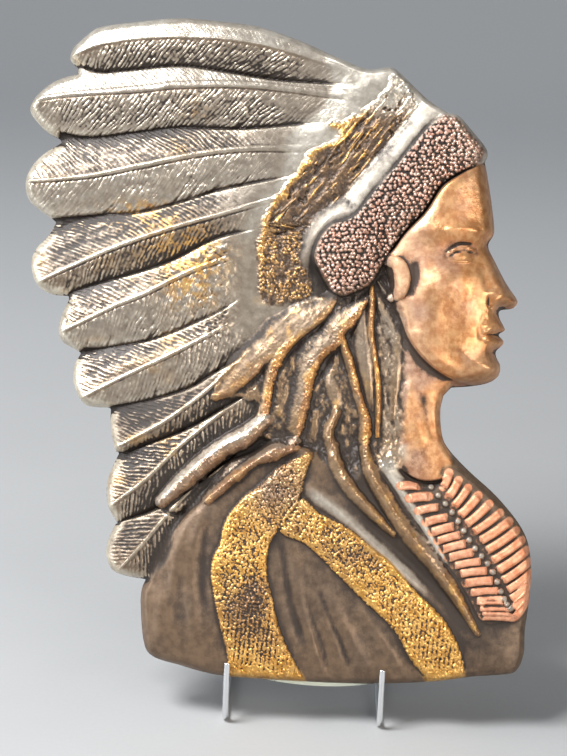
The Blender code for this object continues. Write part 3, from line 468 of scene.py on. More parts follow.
    # ---- crown, its rough woven band, the roll
    wc, sdc, mc = region(CROWN, 15.0)
    crown_h = 15.6 + 6.0 * smooth(235, 400, X) + 0.8 * fractal(X / 26.0, Y / 26.0, 2, 3)
    H[wc] += (crown_h[wc] - H[wc]) * mc
    mark("crown", wc, smooth(-9.0, 5.0, sdc), ("barb", "shaft"))
    mc2 = smooth(-9.0, 5.0, sdc)
    M["dark_and_shade"][wc] *= 1 - mc2
    # painted light on the crown: lighter, with a cool highlight, towards the top
    M["shade"][wc] += (-0.35 - 1.1 * smooth(250, 180, Y[wc]) - M["shade"][wc]) * mc2
    M["painted_sheen"][wc] += ((0.95 - 0.75 * smooth(150, 260, Y[wc])) - M["painted_sheen"][wc]) * mc2
    swell(388, 84, 26, 18, 2.6)
    # painted light on the bump over the headband
    M["shade"] -= 0.8 * np.exp(-((X - 386) ** 2 + (Y - 76) ** 2) / 15.0 ** 2)
    wr, s_, u, n, run = S.along(curve(BAND_TOP + [(345, 219), (331, 225), (319, 240), (313, 258), (317, 276)], 6), 34)
    reach = 28.0 - 10.0 * smooth(0.55, 0.9, s_ / run)
    rolled = smooth(reach, 4.0, u + 1.0 * fractal(X[wr] / 22.0, Y[wr] / 22.0, 4, 2)) * smooth(1.0, 0.9, s_ / run)
    under_roll = np.zeros(S.shape, np.float32)
    under_roll[wr] = smooth(0.08, 0.42, rolled)
    w, sd = S.inside(curve(WEAVE, 6, True), 16)
    x, y = X[w], Y[w]
    sd = sd + 2.0 + 4.0 * fractal(x / 11.0, y / 11.0, 16, 3)
    m = smooth(-2.5, 3.5, sd) * (1 - under_roll[w])
    low = smooth(222, 246, y)
    a, b = x * -0.62 + y * 0.785, x * 0.785 + y * 0.62    # strokes run down and to the left, and straight down lower on
    a, b = a + (y - a) * low, b + (x - b) * low
    warp = 0.5 * fractal(x / 9, y / 9, 17, 2)
    planes = fractal(a / 24.0 + warp, b / 8.0, 3, 2)
    streak = smooth(0.30, 0.62, fractal(a / 22.0 + 0.4 * warp, b / 1.9, 5, 2)) + 0.7 * smooth(0.40, 0.66, fractal(a / 30.0 - b / 9.0, b / 2.6 + a / 14.0, 9, 2))
    chips = smooth(0.15, 0.6, fractal(a / 8.0 + warp, b / 5.0 + warp, 19, 3))
    knobs = np.sqrt(np.clip(1 - (grains(x, y, 3.4, 0.9, 18)[0] / 0.5) ** 2, 0, 1)) * smooth(-0.35, 0.35, fractal(x / 7, y / 7, 21, 2))
    lift = 1.2 * (1 - (1 - np.clip(sd, 0, 6) / 6) ** 2)
    border = smooth(10.0, 3.0, sd) * smooth(-2.5, 1.5, sd) * (x + 0.9 * y < 500) * (y < 300)
    nubs = smooth(0.0, 0.5, fractal(x / 3.2, y / 3.2, 24, 2))
    H[w] += m * (lift * 0.5 + 0.9 * planes + 0.75 * streak * (1 - 0.6 * low) + 0.9 * knobs * low - 1.3 * chips * (1 - 0.5 * low) * (1 - 0.6 * border) + border * (0.8 + 0.8 * nubs) * (1 - 0.5 * low)
                 + 0.28 * fractal(x / 1.9, y / 1.9, 6, 2))
    flecks = np.clip(border * (0.45 + 0.65 * nubs) + 0.85 * streak * (1 - low) * smooth(-0.45, 0.3, fractal(x / 12, y / 12, 26, 2)) + 0.6 * knobs * low, 0, 1)
    M["tone"][w] = np.maximum(M["tone"][w], m * flecks)
    M["shade"][w] *= 1 - m * smooth(92, 128, y)
    gauss([(262, 239), (282, 234), (304, 226)], 2.8, -1.8)
    gauss([(306, 240), (310, 262), (312, 298)], 4.0, -1.2)
    mark("weave", w, m * (0.30 + 0.70 * smooth(92, 128, y)), ("feather", "barb", "painted_sheen", "dark_and_shade"))
    gauss(GROOVE, 8.0, -0.9)
    H[wr] += (25.0 + 0.4 * fractal(X[wr] / 26.0, Y[wr] / 26.0, 4, 2) - H[wr]) * rolled * (0.97 - 0.35 * smooth(0.6, 0.95, s_ / run))
    near_roll = smooth(0.10, 0.55, rolled)
    # painted highlight on the roll, with painted shade laid over it to tone it down
    M["painted_sheen"][wr] = np.maximum(M["painted_sheen"][wr], (0.16 + 0.24 * fractal(X[wr] / 11.0, Y[wr] / 11.0, 44, 3)) * near_roll)
    M["weave"][wr] *= 1 - near_roll
    M["shade"][wr] += (0.85 + 0.5 * fractal(X[wr] / 13.0, Y[wr] / 13.0, 45, 3) - M["shade"][wr]) * near_roll
    M["crown"][wr] = np.maximum(M["crown"][wr], near_roll)

    # ---- neck, shoulders, chest
    edge90 = np.sqrt(np.clip(1 - (1 - np.clip(edge, 0, 90) / 90) ** 2, 0, 1))
    lay(NECK, 14.5 + 7.5 * np.sqrt(np.clip(1 - (1 - np.clip(edge, 0, 34) / 34) ** 2, 0, 1)), 2.0)
    w, sd, m = region(NECK, 1.5)
    mark("face", w, m, ("crown",))
    gauss([(404, 372), (412, 410), (424, 452)], 7, 1.3)
    gauss([(420, 388), (428, 420), (436, 446)], 4, -0.8)
    w, sd, m = lay(ROBE, 13.5 + 9.5 * edge90 - 2.5 * smooth(250, 150, X) + 0.7 * fractal(X / 30.0, Y / 44.0, 12, 3), 5.0)
    mark("robe", w, m, ("feather", "barb", "shaft", "face", "crown", "painted_sheen", "dark_and_shade"))
    for pts, spread, high in FOLDS:
        gauss(pts, spread, high)
    for pts, spread, deep in HOLLOWS:
        gauss(pts, spread, -deep)
    w = S.window(np.array([[130, 430], [545, 700]]), 0)[1]
    x, y = X[w], Y[w]
    brush = fractal(x / 4.0 + 0.8 * fractal(x / 30.0, y / 30.0, 15, 2), y / 26.0, 13, 3)
    H[w] += M["robe"][w] * 0.10 * brush
    for i, poly in enumerate((BAND_LEFT, BAND_RIGHT)):
        w, sd, m = region(poly, 2.2)
        x, y = X[w], Y[w]
        d, tag = grains(x + 1.8 * fractal(x / 7, y / 7, 20, 2), y + 1.8 * fractal(x / 7, y / 7, 22, 2), 2.5, 0.9, 21 + i)
        d2, tag2 = grains(x + 3.0, y + 1.0, 4.4, 0.9, 31 + i)
        coarse = smooth(-0.1, 0.4, fractal(x / 13.0, y / 13.0, 29 + i, 2))
        knots = 0.75 * np.sqrt(np.clip(1 - (d / 0.55) ** 2, 0, 1)) * (0.3 + 0.7 * tag) + 0.75 * coarse * np.sqrt(np.clip(1 - (d2 / 0.5) ** 2, 0, 1)) * smooth(0.3, 0.6, tag2)
        pits = smooth(0.2, 0.8, fractal(x / 3.4, y / 3.4, 25 + i, 3))
        threads = np.cos(2 * np.pi * (x * 0.92 + y * 0.10) / 4.1) * smooth(575, 640, y)
        lift = 2.4 * np.sqrt(np.clip(1 - (1 - np.clip(sd, 0, 9) / 9) ** 2, 0, 1))
        H[w] += m * (lift + 0.95 * knots - 0.45 * pits + 0.25 * threads + 0.35 * fractal(x / 2.0, y / 2.0, 27, 2) + 0.8 * fractal(x / 20, y / 20, 28, 2))
        mark("gold", w, m, ("feather", "barb"))

    # ---- breastplate: slanting pipes in two columns, beads between them
    w, sd, m = region(PLATE, 1.6)
    H[w] += m * 0.7
    for col, spec in enumerate(PIPES):
        ends = [curve(spec[e], 12) for e in ("a", "b")]
        for i in range(spec["count"]):
            f = i / (spec["count"] - 1)
            p, q2 = [np.array([np.interp(f, np.linspace(0, 1, len(e)), e[:, j]) for j in (0, 1)]) for e in ends]
            line = np.vstack([p, (p + q2) / 2 + (0.4, -0.7 if col == 0 else 0.5), q2])
            ww, s, u, n, run = S.along(curve(line, 4), 7)
            half = 4.6 + 0.3 * math.sin(2.1 * i + col)
            q = np.clip(1 - (u / half) ** 2, 0, 1)
            H[ww] = np.where(q > 0, np.maximum(H[ww], H[ww] + 2.0 * np.sqrt(q) * smooth(-0.5, 3.0, s) * smooth(-0.5, 3.0, run - s)), H[ww])
            mark("pipe", ww, smooth(0.0, 0.3, q))
            # painted highlight on the left column of pipes
            if col == 0:
                M["painted_sheen"][ww] = np.maximum(M["painted_sheen"][ww], 0.16 * smooth(0.2, 0.8, q))
    spine = curve(BEADS, 12)
    for i in range(17):
        f = i / 16
        c = [np.interp(f, np.linspace(0, 1, len(spine)), spine[:, j]) for j in (0, 1)]
        r = 3.3
        ww = S.window(np.array([[c[0] - 5, c[1] - 5], [c[0] + 5, c[1] + 5]]), 0)[1]
        q = np.clip(1 - ((X[ww] - c[0]) ** 2 + (Y[ww] - c[1]) ** 2) / r ** 2, 0, 1)
        H[ww] += 1.7 * np.sqrt(q)
        # painted highlight on the top of each bead
        M["painted_sheen"][ww] = np.maximum(M["painted_sheen"][ww], 0.8 * smooth(0.1, 0.6, q))
        M["pipe"][ww] *= 1 - smooth(0.1, 0.5, q)

    # ---- the head: a plain dome back from the profile, then general features set out in thirds
    dome = 15.0 + 17.0 * np.sqrt(np.clip(1 - (1 - np.clip(edge, 0, 52) / 52) ** 2, 0, 1)) - 4.5 * smooth(440, 385, X)
    w, sd, m = lay(JAW, dome, 2.4, 3.0, 12.0)
    mark("face", w, m, ("robe", "crown"))
    brow, nose_base = HAIRLINE + THIRD, HAIRLINE + 2 * THIRD
    f = FRONT
    ex, ey = f - 27, brow + 0.24 * THIRD
    swell(f - 30, brow - 0.08 * THIRD, 30, 8, 2.0, 4)                        # brow bone
    swell(ex + 3, ey, 21, 11, -5.0, 6)                                       # socket
    swell(f - 8, brow + 0.16 * THIRD, 7, 9, -1.6)                            # inner corner
    swell(ex + 1, ey + 1, 11, 7, 3.9, 6)                                     # eyeball under its lids
    gauss([(ex - 17, ey + 3), (ex - 9, ey - 4.5), (ex + 2, ey - 7.2), (ex + 12, ey - 4.5), (ex + 15, ey - 1)], 1.5, 1.5)       # upper lid
    gauss([(ex - 15, ey - 2), (ex - 6, ey - 9.5), (ex + 4, ey - 11.5), (ex + 13, ey - 9)], 1.5, -1.3)                         # fold over it
    gauss([(ex - 15, ey + 4), (ex - 5, ey + 6.8), (ex + 6, ey + 6.6), (ex + 13, ey + 3)], 1.4, 1.0)                           # lower lid
    gauss([(ex - 15, ey + 3), (ex - 7, ey - 1.5), (ex + 3, ey - 3.5), (ex + 12, ey - 1)], 1.1, -0.8)                          # lid line
    gauss([(ex - 20, brow - 3), (ex - 8, brow - 9), (ex + 8, brow - 8), (ex + 22, brow - 2)], 3.2, 0.9)                       # eyebrow
    swell(f - 46, brow + 0.66 * THIRD, 27, 14, 2.6, -14)                     # cheekbone
    swell(f - 36, nose_base + 0.20 * THIRD, 19, 17, -1.3)                    # cheek under it
    gauss([(f + 2, brow + 0.30 * THIRD), (f + 10, brow + 0.62 * THIRD), (f + 19, brow + 0.85 * THIRD)], 5.0, 1.4)             # bridge
    gauss([(f - 7, brow + 0.35 * THIRD), (f - 3, brow + 0.62 * THIRD), (f + 0, brow + 0.80 * THIRD)], 4.5, -1.0)              # side of the nose
    swell(f + 9, nose_base - 0.10 * THIRD, 7.5, 6.5, 3.0)                    # wing
    gauss([(f + 1, nose_base - 0.22 * THIRD), (f - 1, nose_base - 0.08 * THIRD), (f + 4, nose_base + 0.02 * THIRD)], 1.7, -1.6)  # crease behind the wing
    swell(f + 15, nose_base - 0.03 * THIRD, 3.6, 1.7, -1.9, -12)             # nostril
    gauss([(f - 3, nose_base + 0.05 * THIRD), (f - 9, nose_base + 0.22 * THIRD), (f - 10, nose_base + 0.38 * THIRD)], 2.4, -0.45)
    gauss([(f - 7, nose_base + 0.365 * THIRD), (f + 2, nose_base + 0.27 * THIRD), (f + 14, nose_base + 0.25 * THIRD)], 2.6, 1.5)   # upper lip
    gauss([(f - 6, nose_base + 0.385 * THIRD), (f + 3, nose_base + 0.46 * THIRD), (f + 14, nose_base + 0.46 * THIRD)], 2.8, 1.5)   # lower lip
    gauss([(f - 9, nose_base + 0.37 * THIRD), (f + 3, nose_base + 0.355 * THIRD), (f + 16, nose_base + 0.35 * THIRD)], 1.3, -2.0, 0.2)
    swell(f - 9, nose_base + 0.38 * THIRD, 3.2, 3.6, -1.0)                   # corner of the mouth
    gauss([(f - 4, nose_base + 0.60 * THIRD), (f + 8, nose_base + 0.61 * THIRD)], 3.6, -0.9)
    swell(f - 2, nose_base + 0.80 * THIRD, 13, 10, 1.7)                      # chin
    gauss([(410, 322), (424, 350), (446, 368), (472, 379)], 7.5, 1.3)        # jaw
    swell(426, 300, 22, 30, 1.0)
    swell(430, 205, 16, 18, -0.8)

    # ---- ear lobe, hair and drops
    w, sd = S.inside(curve(LOCKS, 6, True), 12)
    x, y = X[w], Y[w]
    sd = sd + 2.0 * fractal(x / 10.0, y / 10.0, 36, 2)
    soft = 3.0 + 6.0 * smooth(378, 394, x) + 6.0 * smooth(438, 462, y) * smooth(300, 330, x)
    m = smooth(-soft, np.minimum(soft, 5.0), sd)
    ang, rad = np.arctan2(x - 352.0, y - 236.0), np.hypot(x - 352.0, y - 236.0)
    flow = 2.6 * (0.45 - np.abs(fractal(ang * 7.0 + 0.6 * fractal(x / 40, y / 40, 33, 2), rad / 80.0, 34, 2)))
    locks = 18.2 + 1.4 * smooth(330, 390, x) + 3.2 * smooth(436, 474, y) * smooth(300, 334, x) + flow + 0.35 * fractal(ang * 40.0, rad / 26.0, 35, 2) + 0.7 * fractal(x / 4.5, y / 6, 37, 3)
    H[w] += (locks - H[w]) * m
    mark("hair", w, m, ("weave", "robe", "feather", "barb", "shaft", "face", "painted_sheen", "dark_and_shade"))
    # painted highlight on the hair, more near the top and at the sideburn; the hair ground darker left of the sideburn;
    # mottled painted shade, turning to painted light at the sideburn
    M["painted_sheen"][w] += m * (0.10 + 0.15 * smooth(350, 300, y) + 0.40 * smooth(366, 384, x) * smooth(440, 400, y)) * (0.6 + 0.4 * fractal(x / 14, y / 22, 38, 2))
    M["dark_and_shade"][w] = np.maximum(M["dark_and_shade"][w], m * 0.24 * smooth(386, 370, x))
    M["shade"][w] *= 1 - m
    M["shade"][w] += m * (0.12 + 0.4 * fractal(x / 17.0, y / 17.0, 39, 2) - 0.75 * smooth(374, 386, x))
    gauss([(412, 258), (415, 280), (408, 302)], 4.0, -1.2)
    ridge([(386, 262), (397, 266), (401, 280), (398, 294), (390, 299)], (5, 7.5, 8.5, 7, 4), (2.2, 3.2, 3.6, 3.4, 2), 24.0, 0, 0, "face")
    # painted shade over the ear lobe
    M["shade"] += 0.5 * np.exp(-((X - 395) ** 2 + (Y - 282) ** 2) / 15.0 ** 2) * M["face"]
    for i, (pts, near, far, high, seat, rich, light) in enumerate(ROPES):
        P = curve(pts, 8)
        near, far, high = stations(near), stations(far), stations(high)
        w, s, u, n, run = S.along(P, float(max(far)) + 6)
        t = s / run
        steep = n < 0
        x, y = X[w], Y[w]
        slow = fractal(s / 26.0, s * 0 + i, 240 + i, 2)
        half = np.where(steep, at(near, t) * (0.78 if i in (3, 5, 7) else 1.0) * (1 + 0.16 * slow + 0.14 * fractal(x / 6.0, y / 6.0, 250 + i, 2)), at(far, t) * (1 + 0.07 * slow))
        q = np.clip(1 - (u / half) ** 2, 0, 1)
        prof = np.where(steep, q ** 0.55, (1 - np.clip(u / half, 0, 1) ** 1.8) ** 1.15)
        if i >= 11:
            prof = np.where(steep, q ** 0.7, q ** 0.9)
        if i in (8, 10):
            prof = (1 - np.clip(u / half, 0, 1) ** 1.6) ** 1.25
        foot = seat - 2.5 if i not in (8, 10, 12) else np.maximum(seat - 2.5, H[w] - 1.5)
        top = foot + (at(high, t) + 2.5) * prof * (1 + 0.06 * slow)
        top = top + 0.20 * fractal(s / 44.0, n / 4.0, 40 + i, 2) * smooth(0.05, 0.5, q) + 0.30 * fractal(s / 34.0, n / 14.0, 60 + i, 2) * smooth(0, 0.5, q)
        reach = np.maximum(3.2 + 3.4 * fractal(s / 12.0, s * 0, 280 + i, 2), 0.8)
        lit = np.where(steep, 0.85 + 0.15 * smooth(0.0, 0.4, u / half), 0.9 * smooth(reach, 0.3 * reach, u)) * smooth(0.0, 0.10, q)
        coarse = 0.50 * fractal(x / 4.0, y / 4.0, 140 + i, 3) + 0.42 * smooth(0.0, 0.5, fractal(x / 1.9, y / 1.9, 145 + i, 2))
        top = top + (lit * rich + (0.14, 0.14, 0.3, 0.38, 0.35, 0.5, 0.25, 0.38, 0.30, 0.2, 0.32, 0.45, 0.7)[i]) * (1.15 * coarse - 0.1)
        here = H[w]
        wins = smooth(-1.2, 1.2, top - here) * smooth(0, 0.06, q)
        blend = 0.5 * (here + top + np.sqrt((here - top) ** 2 + 5.0)) - 0.8
        H[w] = np.where(q > 0, here + (np.maximum(here, blend) - here) * smooth(0, 0.10, q), here)
        M["edge"][w] = M["edge"][w] * (1 - wins) + lit * wins * rich
        # painted highlight on each rope's gentle side, and painted shade or painted light for each rope
        M["painted_sheen"][w] = M["painted_sheen"][w] * (1 - wins) + wins * light * (1 - lit * (rich if i < 11 else 0.8)) * (smooth(1.15, 0.40, t) if i < 11 else 0.95) * smooth(-0.2, 0.5, prof + 0.25 * fractal(x / 16.0, y / 16.0, 270 + i, 2))
        mark("hair", w, wins, ("robe", "gold", "face", "feather", "barb", "shaft", "weave", "dark_and_shade"))
        mottle = 0.5 + 0.7 * fractal(x / 13.0, y / 13.0, 290 + i, 3)
        M["shade"][w] = M["shade"][w] * (1 - wins) + wins * (-0.1, 0.2, 1.6, 0.45, 0.9, 1.3, 0.4, 0.4, 0.4, 0.1, 0.4, -0.2, 0.5)[i] * np.clip(mottle, 0, 1.2) * (1 - 0.6 * lit * rich)
        if i >= 11:
            M["drop"][w] = np.maximum(M["drop"][w], wins)
            M["hair"][w] *= 1 - wins
    gauss([(163, 508), (176, 514), (190, 508)], 2.2, -1.6)
    swell(326, 366, 7, 16, -2.4, 20)
    gauss([(380, 456), (393, 480), (411, 508), (431, 541), (450, 572)], 4.6, 1.7)
    # painted highlight and painted light along three ridges: the collar, the ridge above the right band, the neck base
    for pts, spread, light in (([(379, 452), (393, 479), (411, 508), (431, 541), (452, 576)], 8.0, 1.0), ([(300, 488), (330, 506), (366, 532), (402, 566), (432, 598)], 6.0, 0.55),
                               ([(404, 440), (412, 458), (424, 472)], 9.0, 0.7)):
        w, s, u, n, run = S.along(curve(pts, 8), 3 * spread)
        near_line = np.exp(-(u / spread) ** 2) * smooth(0, 0.12, s / run) * smooth(0, 0.2, 1 - s / run) * (1 - M["pipe"][w]) * (1 - M["gold"][w]) * (1 - M["edge"][w]) * (1 - 0.85 * M["face"][w])
        M["painted_sheen"][w] = np.maximum(M["painted_sheen"][w], light * near_line)
        M["shade"][w] -= 0.9 * near_line

    # ---- beaded headband with its rosette, over all
    head = BAND_TOP[:-1] + ROSETTE[:-1] + BAND_LOW[::-1][2:] + [(492, 150), (478, 130), (462, 112)]
    wt_, _, ut, _, _ = S.along(curve(BAND_TOP + [(345, 219), (331, 225), (319, 240), (313, 258)], 6), 20)
    outer_side = np.zeros(S.shape, np.float32)
    outer_side[wt_] = smooth(16.0, 6.0, ut)
    w, sd, m = lay(head, 26.6 + 1.0 * smooth(330, 460, X), 2.4)
    H[w] -= m * (5.5 * (1 - outer_side[w]) + 1.2 * outer_side[w]) * (1 - np.sqrt(np.clip(1 - (1 - np.clip(sd, 0, 12) / 12) ** 2, 0, 1)))
    swell(347, 256, 24, 26, 2.6)
    gauss([(378, 222), (383, 245), (376, 268)], 5.0, -2.2)
    x, y = X[w], Y[w]
    d, tag = grains(x + 1.0 * fractal(x / 9, y / 9, 60, 2), y + 1.0 * fractal(x / 9, y / 9, 62, 2), 4.2, 0.62, 61)
    off_rim = smooth(2.0, 9.0, edge[w])
    worn = (1 - 0.45 * smooth(410, 478, x) * smooth(190, 120, y)) * off_rim
    bead = np.sqrt(np.clip(1 - (d / 0.47) ** 2, 0, 1))
    H[w] += m * smooth(-0.5, 2.5, sd) * worn * (1.9 * bead * (0.60 + 0.40 * tag) - 0.5 + 0.4 * fractal(x / 7, y / 7, 64, 2) + 0.20 * fractal(x / 1.8, y / 1.8, 65, 2))
    mark("band", w, m, ("face", "weave", "crown", "hair", "feather", "robe", "painted_sheen", "dark_and_shade", "edge"))
    M["bead"][w] = np.maximum(M["bead"][w], m * off_rim * smooth(-0.5, 2.5, sd) * smooth(0.20, 0.75, bead) * (0.70 + 0.30 * tag))
    # painted highlight on the worn upper right of the headband and along its edge
    M["painted_sheen"][w] = np.maximum(M["painted_sheen"][w], m * (0.75 * smooth(0.55, 0.25, worn) + 0.5 * smooth(5.0, 0.0, sd)) * smooth(280, 200, y))
    M["tone"][w] = np.where(m > 0.5, 0.5 + (tag - 0.5) * off_rim, M["tone"][w])

    # ---- cast surface everywhere
    H += 0.10 * fractal(X / 7.0, Y / 7.0, 80, 3) + 0.035 * fractal(X / 1.9, Y / 1.9, 83, 2)

    # ---- the rounded rim all round
    wide = 8.0 + 6.0 * smooth(440, 480, X) * smooth(470, 400, Y)
    q = np.clip(1 - (1 - np.clip(edge, 0, wide) / wide) ** 2, 0, 1) ** 0.5
    H = RIM + (np.maximum(H, RIM + 1) - RIM) * q
    M["rim"] = smooth(9.0, 3.0, edge)
    return H, edge, M


# ================================================================ placing
def place(x, y, w):
    """Drawing positions and heights over the back (mm) to world metres, as an array."""
    x, y, w = (np.asarray(v, np.float64) for v in (x, y, w))
    dx, dy = x - FOOT_X, FOOT_Y - y
    u = UNIT * (dx * math.cos(ROLL_IN) - dy * math.sin(ROLL_IN))
    v = UNIT * (dy * math.cos(ROLL_IN) + dx * math.sin(ROLL_IN))
    return stand_point(u, v, 0.001 * w)


def stand_point(u, v, w):
    u, v, w = np.broadcast_arrays(np.asarray(u, float), v, w)
    return np.stack([SHIFT_X + u, SHIFT_Y + v * math.sin(LEAN) - w * math.cos(LEAN), SEAT_Z + v * math.cos(LEAN) + w * math.sin(LEAN)], -1)


OUT = Vector((0, -math.cos(LEAN), math.sin(LEAN)))
e0, ex, ey = place(0, 0, 0), place(1, 0, 0), place(0, 1, 0)
AX = (ex - e0) / np.linalg.norm(ex - e0)      # drawing x in the world
AY = (ey - e0) / np.linalg.norm(ey - e0)      # drawing y in the world
AW = np.array(OUT)

show = bpy.data.collections.new("relief_plaque_visual")
bpy.context.scene.collection.children.link(show)


def mesh_object(name, P, faces, material, normals=None, smooth_faces=True):
    """P n by 3, faces a list of arrays of corner indices, all with the same number of corners in each array."""
    me = bpy.data.meshes.new(name)
    faces = [np.asarray(f, np.int32) for f in faces if len(f)]
    loops = np.concatenate([f.reshape(-1) for f in faces])
    counts = np.concatenate([np.full(len(f), f.shape[1], np.int32) for f in faces])
    me.vertices.add(len(P))
    me.vertices.foreach_set("co", np.ascontiguousarray(P, np.float32).reshape(-1))
    me.loops.add(len(loops))
    me.loops.foreach_set("vertex_index", loops.astype(np.int32))
    me.polygons.add(len(counts))
    me.polygons.foreach_set("loop_start", np.concatenate([[0], np.cumsum(counts)[:-1]]).astype(np.int32))
    me.polygons.foreach_set("use_smooth", np.full(len(counts), smooth_faces))
    me.update(calc_edges=True)
    if normals is not None:
        me.normals_split_custom_set_from_vertices(normals.astype(np.float32).tolist())
    me.materials.append(material)
    o = bpy.data.objects.new(name, me)
    show.objects.link(o)
    return o


def attribute(o, name, values):
    a = o.data.attributes.new(name, "FLOAT", "POINT")
    a.data.foreach_set("value", np.ascontiguousarray(values, np.float32))


# ================================================================ materials
class Nodes:
    def __init__(self, name):
        self.m = bpy.data.materials.new(name)
        self.m.use_nodes = True
        self.t = self.m.node_tree
        self.b = self.t.nodes["Principled BSDF"]

    def link(self, a, b):
        if isinstance(a, (int, float)):
            b.default_value = a
        elif isinstance(a, tuple):
            b.default_value = a if len(a) == 4 else (*a, 1)
        else:
            self.t.links.new(a, b)

    def value(self, name):
        n = self.t.nodes.new("ShaderNodeAttribute")
        n.attribute_name = name
        return n.outputs["Fac"]

    def math(self, op, a, b=0.0, c=0.0, clamp=False):
        n = self.t.nodes.new("ShaderNodeMath")
        n.operation, n.use_clamp = op, clamp
        for v, s in zip((a, b, c), n.inputs):
            self.link(v, s)
        return n.outputs[0]

    def ramp(self, v, a, b, low=0.0, high=1.0):
        n = self.t.nodes.new("ShaderNodeMapRange")
        n.interpolation_type = "SMOOTHSTEP"
        for s, x in zip(("Value", "From Min", "From Max", "To Min", "To Max"), (v, a, b, low, high)):
            self.link(x, n.inputs[s])
        return n.outputs[0]

    def mix(self, f, a, b, kind="MIX"):
        n = self.t.nodes.new("ShaderNodeMix")
        n.data_type, n.blend_type = "RGBA", kind
        self.link(f, n.inputs["Factor"])
        self.link(a, n.inputs[6])
        self.link(b, n.inputs[7])
        return n.outputs[2]

    def noise(self, scale, detail=3.0, rough=0.55, stretch=None, distort=0.0):
        if not hasattr(self, "place"):
            self.place = self.t.nodes.new("ShaderNodeTexCoord").outputs["Object"]
        v = self.place
        if stretch:
            m = self.t.nodes.new("ShaderNodeMapping")
            self.t.links.new(v, m.inputs["Vector"])
            m.inputs["Scale"].default_value = stretch
            v = m.outputs[0]
        n = self.t.nodes.new("ShaderNodeTexNoise")
        self.t.links.new(v, n.inputs["Vector"])
        for k, x in (("Scale", scale), ("Detail", detail), ("Roughness", rough), ("Distortion", distort)):
            n.inputs[k].default_value = x
        return n.outputs["Fac"]

    def bump(self, height, strength, distance):
        n = self.t.nodes.new("ShaderNodeBump")
        n.inputs["Strength"].default_value = strength
        n.inputs["Distance"].default_value = distance
        self.link(height, n.inputs["Height"])
        self.t.links.new(n.outputs[0], self.b.inputs["Normal"])

    def set(self, name, v):
        self.link(v, self.b.inputs[name])


def bronzed():
    """Black-brown patina, with gold, copper and cream paint rubbed on the high places, and painted highlight and
    painted shade laid on from the vertex masks.
    """
    n = Nodes("bronzed_casting")
    cloud, speck, mid = n.noise(28, 4), n.noise(1500, 3, 0.65), n.noise(210, 4, 0.6)
    rub_and_shading, gold, copper, pink, cream_and_highlight, painted_sheen, bare, warm, stain_and_shade, tone = (n.value(k) for k in ("rub_and_shading", "gold", "copper", "pink", "cream_and_highlight", "painted_sheen", "bare", "warm", "stain_and_shade", "tone"))
    r = n.math("ADD", rub_and_shading, n.math("MULTIPLY", n.math("SUBTRACT", mid, 0.5), 0.45))
    r = n.math("ADD", r, n.math("MULTIPLY", n.math("SUBTRACT", speck, 0.5), 0.50))
    r = n.math("SUBTRACT", r, n.math("MULTIPLY", stain_and_shade, 0.15))
    on = n.ramp(r, 0.12, 0.80)
    ground = n.mix(n.ramp(cloud, 0.35, 0.65), (0.016, 0.0130, 0.011), (0.028, 0.022, 0.018))
    ground = n.mix(warm, ground, (0.050, 0.029, 0.018))
    thin = n.mix(n.ramp(mid, 0.3, 0.7), (0.150, 0.122, 0.094), (0.210, 0.172, 0.132))
    thin = n.mix(warm, thin, n.mix(n.ramp(mid, 0.35, 0.65), (0.26, 0.125, 0.045), (0.36, 0.180, 0.065)))
    # deep brown for the staining and the painted shade
    thin = n.mix(n.math("MULTIPLY", stain_and_shade, 0.70), thin, n.mix(n.ramp(mid, 0.3, 0.7), (0.060, 0.040, 0.027), (0.105, 0.072, 0.050)))
    col = n.mix(on, ground, thin)
    g = n.math("MULTIPLY", gold, n.ramp(r, 0.20, 0.70), clamp=True)
    col = n.mix(g, col, n.mix(n.ramp(mid, 0.35, 0.65), (0.50, 0.240, 0.045), (0.76, 0.44, 0.125)))
    c = n.math("MULTIPLY", copper, n.ramp(r, 0.16, 0.62), clamp=True)
    col = n.mix(c, col, n.mix(n.ramp(mid, 0.35, 0.65), (0.62, 0.230, 0.110), (0.82, 0.400, 0.230)))
    k = n.math("MULTIPLY", pink, n.ramp(r, 0.20, 0.62), clamp=True)
    col = n.mix(k, col, n.mix(tone, (0.58, 0.240, 0.160), (0.82, 0.56, 0.46)))
    # cream paint on barb tips, and painted highlight on the left rims and the crown
    p = n.math("MULTIPLY", cream_and_highlight, n.ramp(r, 0.30, 0.75), clamp=True)
    col = n.mix(p, col, n.mix(n.ramp(mid, 0.35, 0.65), (0.50, 0.43, 0.33), (0.66, 0.59, 0.47)))
    # painted highlight: a cool grey-white colour mixed over the rest
    h = n.math("MULTIPLY", painted_sheen, n.ramp(r, 0.10, 0.70), clamp=True)
    col = n.mix(n.math("MULTIPLY", h, 0.85), col, n.mix(n.ramp(mid, 0.30, 0.70), (0.39, 0.350, 0.292), (0.58, 0.535, 0.460)))
    col = n.mix(bare, col, (0.72, 0.76, 0.64))
    n.set("Base Color", col)
    metal = n.math("MULTIPLY", n.ramp(r, 0.2, 0.7, 0.30, 0.62), n.math("SUBTRACT", 1.0, n.math("ADD", bare, n.math("MULTIPLY", stain_and_shade, 0.35))), clamp=True)
    n.set("Metallic", metal)
    n.set("Roughness", n.math("ADD", n.ramp(r, 0.2, 0.9, 0.46, 0.31), n.math("ADD", n.math("MULTIPLY", n.math("SUBTRACT", speck, 0.5), 0.18), n.math("MULTIPLY", stain_and_shade, 0.20)), clamp=True))
    n.b.inputs["Specular IOR Level"].default_value = 0.5
    n.bump(n.math("ADD", n.math("MULTIPLY", speck, 0.7), mid), 0.45, 0.0003)
    return n.m


